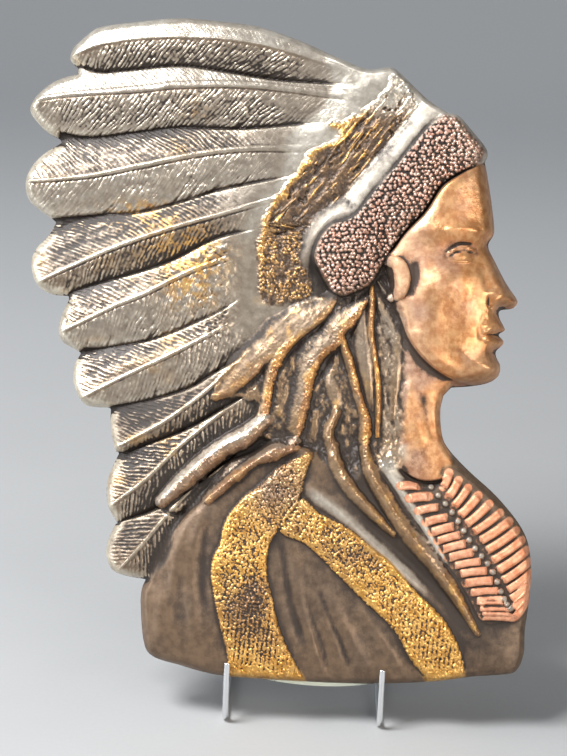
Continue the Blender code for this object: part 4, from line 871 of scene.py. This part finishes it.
def back_paint():
    n = Nodes("casting_back")
    cloud, speck, mid = n.noise(22, 4), n.noise(900, 3, 0.65), n.noise(120, 5, 0.6)
    bare = n.value("bare")
    col = n.mix(n.ramp(cloud, 0.3, 0.7), (0.020, 0.016, 0.013), (0.045, 0.034, 0.026))
    col = n.mix(n.ramp(mid, 0.55, 0.75, 0, 0.5), col, (0.11, 0.085, 0.062))
    col = n.mix(bare, col, n.mix(n.ramp(mid, 0.35, 0.7), (0.66, 0.70, 0.58), (0.52, 0.55, 0.46)))
    n.set("Base Color", col)
    n.set("Metallic", n.math("SUBTRACT", 0.15, n.math("MULTIPLY", bare, 0.15), clamp=True))
    n.set("Roughness", n.ramp(speck, 0.3, 0.7, 0.52, 0.68))
    n.bump(n.math("ADD", n.math("MULTIPLY", speck, 0.4), mid), 0.6, 0.0004)
    return n.m


def chrome_paint():
    n = Nodes("chrome_wire")
    cloud, speck = n.noise(60, 3), n.noise(2400, 2, stretch=(1, 1, 0.08))
    n.set("Base Color", n.mix(n.ramp(cloud, 0.3, 0.7), (0.74, 0.75, 0.77), (0.82, 0.83, 0.84)))
    n.set("Metallic", 1.0)
    n.set("Roughness", n.ramp(speck, 0.3, 0.7, 0.05, 0.11))
    n.bump(speck, 0.05, 0.0001)
    return n.m


# ================================================================ the plaque
def lipped(P):
    """The outline with the bare casting lip under the hem."""
    Q = P.copy()
    low = (Q[:, 1] > 640) & (Q[:, 0] > LIP_FROM) & (Q[:, 0] < LIP_TO)
    Q[low, 1] += LIP_DROP * np.sin(np.pi * (Q[low, 0] - LIP_FROM) / (LIP_TO - LIP_FROM)) ** 0.7
    return Q


def nearest(ring, P):
    """Nearest point of a closed ring to each point, and the ring's outward normal there."""
    A, B = ring, np.roll(ring, -1, 0)
    D = B - A
    L2 = (D ** 2).sum(1)
    area = 0.5 * (A[:, 0] * B[:, 1] - B[:, 0] * A[:, 1]).sum()
    N = np.c_[D[:, 1], -D[:, 0]] * np.sign(area)
    N /= np.linalg.norm(N, axis=1)[:, None]
    out, nor = np.empty_like(P), np.empty_like(P)
    for i in range(0, len(P), 400):
        Q = P[i:i + 400, None]
        t = np.clip(((Q - A) * D).sum(2) / L2, 0, 1)
        C = A + t[..., None] * D
        k = ((Q - C) ** 2).sum(2).argmin(1)
        r = np.arange(len(k))
        out[i:i + 400] = C[r, k]
        M = (1 - t[r, k, None]) * 0.5 * (N[k] + N[k - 1]) + t[r, k, None] * 0.5 * (N[k] + N[(k + 1) % len(N)])
        nor[i:i + 400] = M / np.maximum(np.linalg.norm(M, axis=1), 1e-6)[:, None]
    return out, nor


painted = clean_ring(outline(8), 1.6)
outer = lipped(clean_ring(outline(8), 1.2))
outer = outer - 0.3 * nearest(outer, outer)[1]
sheet = Sheet(12, 5, 546, 700, STEP, COARSE)
H, edge, M = carve(sheet, painted)
_, inner = sheet.inside(outer, 900)
lip = smooth(0.4, -0.4, edge)
H = H + (LIP - H) * lip


def roof(x, y):
    """Greatest height in mm that stays under the top of the whole."""
    v = UNIT * ((FOOT_Y - y) * math.cos(ROLL_IN) + (x - FOOT_X) * math.sin(ROLL_IN))
    return (cad_bounds[1][2] - 0.00015 - SEAT_Z - v * math.cos(LEAN)) / (0.001 * math.sin(LEAN))


over = H - roof(sheet.X, sheet.Y)
H = H - 0.5 * (over + np.sqrt(over ** 2 + 0.09))

# paint masks, painted highlight and painted shade among them
X, Y = sheet.X, sheet.Y
c = 0.75 / STEP
small, mid, large = H - blurred(H, 1.6 * c), H - blurred(H, 5 * c), H - blurred(H, 16 * c)
soft_noise = fractal(X / 26.0, Y / 26.0, 200, 3)
patch = fractal(X / 15.0, Y / 15.0, 201, 3)
fleck = fractal(X / 4.2, Y / 4.2, 204, 3)
blob = lambda x, y, r, s=1.0: np.exp(-(((X - x) ** 2 + ((Y - y) * s) ** 2) / r ** 2))
tips = 1.5 * small + 0.55 * mid + 0.14 * large
plain = np.clip(M["face"] + M["robe"] * (1 - M["gold"]) + M["crown"] * (1 - M["weave"]) + M["drop"] + M["hair"] * (1 - M["edge"]) + 0.9 * M["painted_sheen"], 0, 1)
rub_and_shading = smooth(-0.55, 0.85, tips + 0.16)
rub_and_shading += (smooth(-1.5, 1.3, 0.9 * small + 0.75 * mid + 0.34 * large + 0.45) - rub_and_shading) * 0.85 * plain
rub_and_shading -= 0.46 * M["dark_and_shade"] * smooth(0.45, -0.15, tips)
# painted light: the feathers lighter towards the top
rub_and_shading += (0.10 + 0.10 * smooth(230, 60, Y)) * M["feather"] * (1 - M["dark_and_shade"])
rub_and_shading += 0.16 * patch * (1 - M["face"]) + 0.10 * M["robe"] * (1 - M["gold"]) * smooth(430, 380, X)
rub_and_shading += (0.22 + 0.90 * smooth(-0.42, 0.50, tips) - rub_and_shading) * 0.8 * M["gold"]
rub_and_shading -= 0.22 * M["face"] * smooth(380, 405, Y)
yoke = M["gold"] * blob(276, 484, 36)
rub_and_shading += 0.14 * M["hair"] * fractal(X / 6.0, Y / 6.0, 206, 3)
gold_flecks = M["hair"] * (1 - M["edge"]) * smooth(0.15, 0.6, fractal(X / 9.0, Y / 13.0, 207, 3)) * smooth(0.0, 0.35, tips)
rub_and_shading -= M["gold"] * (0.45 * blob(246, 606, 34, 0.8) + 0.12 * blob(345, 545, 26)) + 0.18 * M["robe"] * (1 - M["gold"]) * smooth(430, 470, X) * smooth(560, 620, Y)
gold = M["gold"] * np.clip(0.60 - 0.30 * smooth(520, 470, Y) + 0.45 * smooth(-0.5, 0.4, patch) + 0.65 * blob(232, 550, 30) + 0.75 * blob(425, 618, 50) + 0.25 * blob(255, 662, 30) - 0.9 * blob(246, 606, 30, 0.8) - 0.60 * blob(276, 484, 36) - 0.35 * blob(345, 545, 22), 0, 1)
woven = M["weave"] * (1 - M["bead"])
rub_and_shading += (0.30 + 0.75 * M["tone"] - rub_and_shading) * 0.8 * woven
rub_and_shading += 0.16 * M["bead"]
rub_and_shading += 0.30 * M["feather"] * (1 - M["painted_sheen"]) * fractal(X / 3.4, Y / 3.4, 208, 2) * (0.4 + 0.6 * smooth(330, 400, Y))
gold += woven * (1 - 0.45 * smooth(212, 250, Y)) * np.clip(1.15 * M["tone"] + 0.12 * smooth(0.1, 0.6, tips), 0, 1) + M["edge"] * (0.10 + 0.80 * smooth(-0.20, 0.50, 0.6 * patch + 0.5 * fractal(X / 7.0, Y / 7.0, 205, 2))) * smooth(-0.3, 0.45, tips + 0.2 * fleck)
rub_and_shading -= 0.40 * M["edge"] * smooth(0.20, -0.30, tips)
gold += M["crown"] * (1 - M["weave"]) * (0.9 * blob(394, 86, 18) * smooth(-0.1, 0.4, fleck) + 0.8 * blob(340, 130, 14) * smooth(0, 0.5, fleck))
gold += M["feather"] * (0.95 * blob(150, 214, 32, 2.2) + 0.8 * blob(178, 250, 40, 1.8) + 0.7 * blob(186, 286, 26) + 0.5 * blob(205, 262, 26) + 0.3 * blob(110, 214, 28, 1.8) + 0.45 * blob(196, 112, 16) + 0.4 * blob(180, 148, 18, 1.5)) * smooth(-0.4, 0.3, fleck)
gold += M["feather"] * 0.36 * smooth(0.1, 0.7, fractal(X / 34.0, Y / 20.0, 203, 3)) * smooth(120, 300, Y)
gold += 0.12 * M["hair"] * (1 - M["painted_sheen"]) + 0.6 * gold_flecks + M["face"] * (0.06 + 0.52 * smooth(-0.20, 0.65, 0.85 * soft_noise + 0.22 * large + 0.2 * mid + 0.1))
copper = 0.95 * M["pipe"] + 0.42 * M["face"] + 0.22 * M["edge"] + 0.06 * M["drop"] * (1 - M["painted_sheen"])
pink = (0.62 + 0.3 * smooth(-0.4, 0.5, patch)) * M["bead"]
cream_and_highlight = M["feather"] * (1 - M["painted_sheen"]) * smooth(-0.02, 0.36, small + 0.12 * fleck) * (0.62 + 0.38 * smooth(270, 80, X)) * (0.80 + 0.20 * smooth(-0.3, 0.4, patch)) * (1 - 0.45 * M["dark_and_shade"] * (Y > 140)) * (1 - 0.30 * smooth(380, 430, Y))
# painted highlight along the left rims of the feathers
cream_and_highlight += M["feather"] * smooth(10.0, 4.0, edge) * 0.45 * smooth(240, 120, X)
# painted highlight: the mask, plus the yoke, bead tips, upper crown, the left of the face and patches on it, kept out
# of creases
painted_sheen = np.clip(M["painted_sheen"] + 0.34 * yoke * smooth(-0.1, 0.4, tips) + 0.22 * M["bead"] * smooth(0.1, 0.5, tips) + 0.35 * M["crown"] * (1 - M["weave"]) * smooth(270, 170, Y) + 0.28 * M["face"] * smooth(455, 400, X) * (Y < 390) + 0.20 * M["face"] * smooth(-0.3, 0.5, -soft_noise), 0, 1) * (0.70 + 0.30 * smooth(-0.5, 0.4, soft_noise)) * smooth(-1.6, 0.2, 1.2 * small + mid)
warm = 0.20 + 0.60 * M["face"] + 0.20 * M["hair"] + 0.22 * M["robe"] + 0.35 * M["gold"] + 0.35 * M["weave"] + 0.6 * M["pipe"] + 0.18 * M["drop"] + 0.5 * M["edge"]
# brown staining and painted shade: mottled patches on the face, the face darker at the left, in its recesses and on the
# neck, the robe darker and more so at the right, the drops a little, and painted shade wherever shade is above zero
stain_and_shade = M["face"] * (0.75 * smooth(-0.15, 0.6, fractal(X / 19.0, Y / 24.0, 210, 4)) + 0.4 * smooth(430, 395, X) + 0.5 * smooth(0.1, -0.9, mid)) + M["robe"] * (1 - M["gold"]) * (0.70 + 0.15 * smooth(420, 440, X) + 0.38 * smooth(-0.3, 0.5, fractal(X / 30.0, Y / 50.0, 211, 4))) + M["drop"] * 0.1 + M["face"] * 0.35 * smooth(455, 405, X) * (Y < 385) + M["face"] * 0.35 * smooth(375, 400, Y) + 1.0 * np.clip(M["shade"], 0, 1) * (1 - M["gold"])
# painted light where shade is below zero, painted shade where it is above; the crown gets a lighter cream coat too
lighter = np.clip(-M["shade"], 0, 1.4) * (1 - M["gold"]) * (1 - M["pipe"])
rub_and_shading += 0.22 * lighter
painted_sheen = np.clip(painted_sheen + 0.40 * lighter * smooth(-1.2, 0.4, 1.2 * small + mid), 0, 1)
rub_and_shading -= 0.10 * np.clip(M["shade"], 0, 1)
cream_and_highlight *= 1 - 0.35 * np.clip(M["shade"], 0, 1)
cream_and_highlight += 0.5 * M["crown"] * (1 - M["weave"]) * lighter
gilt = smooth(0.15, 0.6, gold) * M["feather"]
cream_and_highlight *= 1 - 0.7 * gilt
painted_sheen = painted_sheen * (1 - 0.7 * gilt)
paint = {"rub_and_shading": rub_and_shading, "gold": gold, "copper": copper, "pink": pink, "cream_and_highlight": cream_and_highlight, "painted_sheen": painted_sheen, "bare": lip, "warm": warm, "stain_and_shade": stain_and_shade, "tone": M["tone"]}

# grid cells wholly inside the outline; their border is moved out to it
ok = inner > 0
cell = ok[:-1, :-1] & ok[1:, :-1] & ok[:-1, 1:] & ok[1:, 1:]
cols = sheet.shape[1]
ids = np.arange(sheet.shape[0] * cols).reshape(sheet.shape)
quads = np.stack([ids[:-1, :-1], ids[1:, :-1], ids[1:, 1:], ids[:-1, 1:]], -1)[cell]
side = np.concatenate([quads[:, [a, b]] for a, b in ((0, 1), (1, 2), (2, 3), (3, 0))])
key = np.sort(side, 1)
_, first, count = np.unique(key[:, 0].astype(np.int64) * ids.size + key[:, 1], return_index=True, return_counts=True)
border = side[first[count == 1]]
used = np.zeros(ids.size, bool)
used[quads.reshape(-1)] = True
flat_xy = np.stack([X.reshape(-1), Y.reshape(-1)], -1).astype(np.float64)
edge_ids = np.unique(border)
snapped, outward = nearest(outer, flat_xy[edge_ids])
flat_xy[edge_ids] = snapped
flat_h = H.reshape(-1).astype(np.float64).copy()
on_lip = (snapped[:, 1] > 640) & (snapped[:, 0] > LIP_FROM + 3) & (snapped[:, 0] < LIP_TO - 3)
flat_h[edge_ids] = np.minimum(np.where(on_lip, LIP, RIM), roof(snapped[:, 0], snapped[:, 1]))
gy, gx = np.gradient(H, STEP * UNIT * 1000)
N = AW - gx.reshape(-1, 1) * AX - gy.reshape(-1, 1) * AY
N /= np.linalg.norm(N, axis=1)[:, None]
out3 = outward[:, :1] * AX + outward[:, 1:] * AY
N[edge_ids] = out3 * 0.85 + AW * 0.5
N[edge_ids] /= np.linalg.norm(N[edge_ids], axis=1)[:, None]

# pieces follow the parts of the carving
weights = {
    "plaque_head": blurred(np.maximum.reduce([M["crown"], M["weave"], M["band"], M["face"] * (Y < 400)]), 4 * c) + 0.02,
    "plaque_hair": blurred(np.maximum(M["hair"], M["face"] * (Y >= 390)), 4 * c) * 1.1,
    "plaque_robe": blurred(np.maximum(M["robe"], M["gold"]) * (X < 352), 4 * c) * 1.05,
    "plaque_chest": blurred(np.maximum(M["robe"], M["pipe"]) * (X >= 352), 4 * c) * 1.05,
    "plaque_feathers_upper": blurred(M["feather"] * (Y < 218), 4 * c),
    "plaque_feathers_lower": blurred(M["feather"] * (Y >= 218), 4 * c),
}
names = list(weights)
label = np.argmax(np.stack([weights[k] for k in names]), 0)
label = label[:-1, :-1][cell]
skin = bronzed()
plaque_pieces = []
for i, name in enumerate(names):
    q = quads[label == i]
    keep, idx = np.unique(q.reshape(-1), return_inverse=True)
    q = idx.reshape(-1, 4)
    o = mesh_object(name, place(flat_xy[keep, 0], flat_xy[keep, 1], flat_h[keep]), [q], skin, N[keep])
    for k, v in paint.items():
        attribute(o, k, np.clip(v.reshape(-1)[keep], 0, 1))
    plaque_pieces.append(o)
    print(name, 2 * len(q))

# side wall and back: rings from the border loop, then a slightly sunk, uneven back
order = {int(a): int(b) for a, b in border}
loop, v = [], int(border[0, 0])
while v not in loop[:1]:
    loop.append(v)
    v = order[v]
loop = np.array(loop)
where = {int(v): i for i, v in enumerate(edge_ids)}
near = np.array([where[int(v)] for v in loop])
ring_xy, ring_n = flat_xy[loop], outward[near]
top_w = flat_h[loop]
from mathutils.geometry import delaunay_2d_cdt
rings = [(0.0, top_w), (0.0, top_w * 0.5), (0.0, np.full(len(loop), 0.7)), (0.35, np.full(len(loop), 0.12)), (1.2, np.zeros(len(loop)))]
P, NN = [], []
for inset, w in rings:
    xy = ring_xy - inset * ring_n
    P.append(np.c_[xy, w])
for k in range(4):
    lift = (0.5, 0.0, -0.25, -0.8)[k]
    n3 = ring_n[:, :1] * AX + ring_n[:, 1:] * AY
    n3 = n3 * (0.85 if k == 0 else 1.0) + AW * lift
    NN.append(n3 / np.linalg.norm(n3, axis=1)[:, None])
NN.append(np.tile(-AW, (len(loop), 1)))
step_b = 5.0
bx, by = np.meshgrid(np.arange(20, 540, step_b), np.arange(10, 690, step_b))
bx = bx + 2.5 * (np.arange(bx.shape[0])[:, None] % 2)
bx, by = bx.reshape(-1), by.reshape(-1)
gi = np.clip(((by - sheet.y0) / STEP).astype(int), 0, sheet.shape[0] - 1)
gj = np.clip(((bx - sheet.x0) / STEP).astype(int), 0, sheet.shape[1] - 1)
deep = inner[gi, gj]
take = deep > 4.5
bx, by, deep = bx[take], by[take], deep[take]
coarse_ring = ring_xy - 1.2 * ring_n
pts = [Vector((float(a), float(b))) for a, b in coarse_ring] + [Vector((float(a), float(b))) for a, b in zip(bx, by)]
v2, _, tris, orig, _, _ = delaunay_2d_cdt(pts, [], [list(range(len(coarse_ring)))], 1, 1e-5)
back_w = 1.3 * smooth(12.0, 22.0, deep) + 0.25 * np.abs(fractal(bx / 30, by / 30, 300, 3)) * smooth(6, 20, deep)
m = len(loop)
P = np.vstack(P + [np.c_[bx, by, back_w]])
faces = []
for k in range(4):
    a = np.arange(m) + k * m
    b = np.roll(np.arange(m), -1) + k * m
    faces.append(np.stack([b, a, a + m, b + m], -1))
xy2 = np.array([(v[0], v[1]) for v in v2])
remap = np.array([(o[0] if o[0] < m else o[0]) if o else -1 for o in orig])
tri = np.array([t for t in tris if len(t) == 3])
tri = remap[tri]
tri = tri[(tri >= 0).all(1)]
tri = np.where(tri < m, tri + 4 * m, tri + 4 * m)
A, B, C = (P[tri[:, i], :2] for i in range(3))
turn = (B[:, 0] - A[:, 0]) * (C[:, 1] - A[:, 1]) - (B[:, 1] - A[:, 1]) * (C[:, 0] - A[:, 0])
tri[turn < 0] = tri[turn < 0][:, ::-1]
back = mesh_object("plaque_back", place(P[:, 0], P[:, 1], P[:, 2]), [np.concatenate(faces), tri], back_paint())
lip_like = np.concatenate([on_lip[near].astype(float)] * 5 + [np.zeros(len(bx))])
attribute(back, "bare", np.clip(lip_like + smooth(22, 30, np.concatenate([np.zeros(5 * m), deep])) * 0.0, 0, 1))
plaque_pieces.append(back)
for o in plaque_pieces:
    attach(o, "root")
    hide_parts("plaque")


# ================================================================ the wire easel
def bent(points, radius, steps=14):
    """A path in the y, z plane with its corners rounded."""
    out = [Vector(points[0])]
    for a, b, c in zip(points[:-2], points[1:-1], points[2:]):
        a, b, c = Vector(a), Vector(b), Vector(c)
        p, q = (a - b).normalized(), (c - b).normalized()
        half = p.angle(q) / 2
        cut = radius / math.tan(half)
        centre = b + (p + q).normalized() * (radius / math.sin(half))
        start, end = b + p * cut, b + q * cut
        r0, r1 = start - centre, end - centre
        whole = r0.angle(r1)
        for k in range(steps + 1):
            t = k / steps
            out.append(centre + (r0 * math.sin((1 - t) * whole) + r1 * math.sin(t * whole)) / math.sin(whole))
    out.append(Vector(points[-1]))
    return out


chrome = chrome_paint()


def wire(name, node, points, cap=0.35, around=24):
    """A drawn wire with softly rounded ends."""
    pts = [Vector(p) for p in points]
    t0, t1 = (pts[1] - pts[0]).normalized(), (pts[-1] - pts[-2]).normalized()
    rows = []
    for k in range(5):
        a = k / 4 * math.pi / 2
        rows.append((pts[0] + t0 * WIRE * cap * (1 - math.sin(a)), max(math.cos(math.pi / 2 - a), 0.0) * WIRE * 0.35 + 0.65 * WIRE if k else 0.60 * WIRE, t0))
    body = []
    for i, p in enumerate(pts[1:-1], 1):
        body.append((p, WIRE, ((pts[i + 1] - p).normalized() + (p - pts[i - 1]).normalized()).normalized()))
    rows[-1] = (pts[0] + t0 * WIRE * cap, WIRE, t0)
    rows = [(pts[0] + t0 * WIRE * cap * (1 - math.cos(a)), WIRE * (0.62 + 0.38 * math.sin(a)), t0) for a in (0, math.pi / 8, math.pi / 4, 3 * math.pi / 8, math.pi / 2)]
    tail = [(pts[-1] - t1 * WIRE * cap * (1 - math.cos(a)), WIRE * (0.62 + 0.38 * math.sin(a)), t1) for a in (math.pi / 2, 3 * math.pi / 8, math.pi / 4, math.pi / 8, 0)]
    rows = rows + body + tail
    P, F = [], []
    for p, r, t in rows:
        s = t.cross(Vector((1, 0, 0)))
        s = s.normalized() if s.length > 0.1 else Vector((0, 0, 1))
        q = t.cross(s).normalized()
        for j in range(around):
            a = 2 * math.pi * j / around
            P.append(p + r * (math.cos(a) * s + math.sin(a) * q))
    for i in range(len(rows) - 1):
        for j in range(around):
            k = (j + 1) % around
            F.append((i * around + j, i * around + k, (i + 1) * around + k, (i + 1) * around + j))
    P += [rows[0][0], rows[-1][0]]
    a, b = len(P) - 2, len(P) - 1
    caps = [(a, (j + 1) % around, j) for j in range(around)]
    last = (len(rows) - 1) * around
    caps += [(b, last + j, last + (j + 1) % around) for j in range(around)]
    o = mesh_object(name, np.array([tuple(p) for p in P]), [np.array(F), np.array(caps)], chrome)
    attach(o, "root")
    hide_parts(node)
    return o


def side_point(v, w):
    p = stand_point(0, v, w)
    return (0.0, float(p[1]), float(p[2]))


seat_v = -0.0006 - WIRE - AIR + 0.0005
rest_low, rest_top = side_point(seat_v, -0.0085), side_point(REST_V, -(WIRE + AIR))
rest_line = (Vector(rest_top) - Vector(rest_low)).normalized()
rest_join = Vector(rest_top) - rest_line * 0.008
rear = Vector((0, SHIFT_Y + REAR_Y, WIRE))
toward = (rear - rest_join).normalized()
leg_path = bent([(0, SHIFT_Y + PRONG_Y, PRONG_TOP), (0, SHIFT_Y + PRONG_Y, WIRE), tuple(rear), tuple(rest_join + toward * 0.0056)], BEND)
rest_path = bent([side_point(seat_v, 0.0162), rest_low, rest_top], 0.006)
for name, x in (("left", -SPAN), ("right", SPAN)):
    wire("chrome_leg_" + name, "easel_leg_" + name, [(SHIFT_X + x, p[1], p[2]) for p in leg_path])
    wire("chrome_rest_" + name, "easel_rest_" + name, [(SHIFT_X + x, p[1], p[2]) for p in rest_path])
reach = SPAN - WIRE - AIR
for name, q in (("top_bar", rest_join - rest_line * 0.012), ("rear_bar", Vector((0, SHIFT_Y + REAR_Y - 0.016, WIRE)))):
    wire("chrome_" + name, "easel_" + name, [(SHIFT_X + k * reach, q[1], q[2]) for k in (-1, -0.5, 0, 0.5, 1)])


# ================================================================ floor, light, camera
def floor_paint():
    n = Nodes("studio_floor")
    cloud, speck = n.noise(3, 3), n.noise(300, 3)
    split = n.t.nodes.new("ShaderNodeSeparateXYZ")
    n.t.links.new(n.place, split.inputs[0])
    near = n.mix(n.ramp(cloud, 0.3, 0.7), (0.36, 0.36, 0.358), (0.39, 0.39, 0.387))
    n.set("Base Color", n.mix(n.ramp(split.outputs[1], -0.1, 1.6), near, (0.66, 0.66, 0.655)))
    n.set("Roughness", n.ramp(speck, 0.3, 0.7, 0.55, 0.65))
    return n.m


rows = []
for k in range(41):
    y = -3 + 0.18 * k
    rise = max(0.0, y - 2.2)
    rows.append((y, 0.0 if rise == 0 else 0.28 * rise ** 2))
P = [(x, y, z) for y, z in rows for x in (-5.0, -2.5, 0.0, 2.5, 5.0)]
F = [(i * 5 + j, i * 5 + j + 1, (i + 1) * 5 + j + 1, (i + 1) * 5 + j) for i in range(len(rows) - 1) for j in range(4)]
floor = mesh_object("studio_floor", np.array(P), [np.array(F)], floor_paint())
show.objects.unlink(floor)
bpy.context.scene.collection.objects.link(floor)

world = bpy.data.worlds.new("studio")
bpy.context.scene.world = world
world.use_nodes = True
wt = world.node_tree
ray = wt.nodes.new("ShaderNodeTexCoord")
axes = wt.nodes.new("ShaderNodeSeparateXYZ")
wt.links.new(ray.outputs["Generated"], axes.inputs[0])
sky = wt.nodes.new("ShaderNodeMapRange")
sky.interpolation_type = "SMOOTHSTEP"
for socket, value in (("From Min", -0.05), ("From Max", 0.7), ("To Min", 0.05), ("To Max", 0.42)):
    sky.inputs[socket].default_value = value
wt.links.new(axes.outputs[2], sky.inputs["Value"])
across = wt.nodes.new("ShaderNodeMapRange")   # the room is lighter on the left
across.interpolation_type = "SMOOTHSTEP"
for socket, value in (("From Min", 0.7), ("From Max", -0.5), ("To Min", 0.45), ("To Max", 1.15)):
    across.inputs[socket].default_value = value
wt.links.new(axes.outputs[0], across.inputs["Value"])
room = wt.nodes.new("ShaderNodeMath")
room.operation = "MULTIPLY"
wt.links.new(sky.outputs[0], room.inputs[0])
wt.links.new(across.outputs[0], room.inputs[1])
wt.nodes["Background"].inputs[0].default_value = (0.86, 0.92, 1.0, 1)
wt.links.new(room.outputs[0], wt.nodes["Background"].inputs[1])

centre = Vector(place(283.5, 378.0, 9.0).tolist())


def lamp(name, offset, size, power, colour, size_y=None):
    d = bpy.data.lights.new(name, "AREA")
    d.shape = "RECTANGLE"
    d.size, d.size_y = size, size_y or size
    d.energy, d.color = power, colour
    o = bpy.data.objects.new(name, d)
    o.location = centre + Vector(offset)
    o.rotation_euler = (centre - o.location).to_track_quat("-Z", "Y").to_euler()
    bpy.context.scene.collection.objects.link(o)
    return o


lamp("key", (-0.72, -0.58, 1.10), 0.6, 40, (0.97, 0.985, 1.0), 0.5)
lamp("left_strip", (-1.35, -0.10, 0.25), 0.4, 12, (0.95, 0.97, 1.0), 1.0)
lamp("warm_fill", (1.1, -1.2, 0.20), 0.9, 17, (1.0, 0.94, 0.87))

D = 1.6
cam_data = bpy.data.cameras.new("camera")
cam_data.sensor_fit = "VERTICAL"
cam_data.sensor_height = 24.0
cam_data.lens = 24.0 * D / (756 * UNIT)
cam = bpy.data.objects.new("camera", cam_data)
up, back_dir = Vector((-AY).tolist()), OUT
right = up.cross(back_dir).normalized()
m = Matrix((right, up, back_dir)).transposed().to_4x4()
m.translation = centre + back_dir * D
cam.matrix_world = m
bpy.context.scene.collection.objects.link(cam)
bpy.context.scene.camera = cam
bpy.context.scene.view_settings.view_transform = "Standard"
bpy.context.scene.view_settings.look = "None"
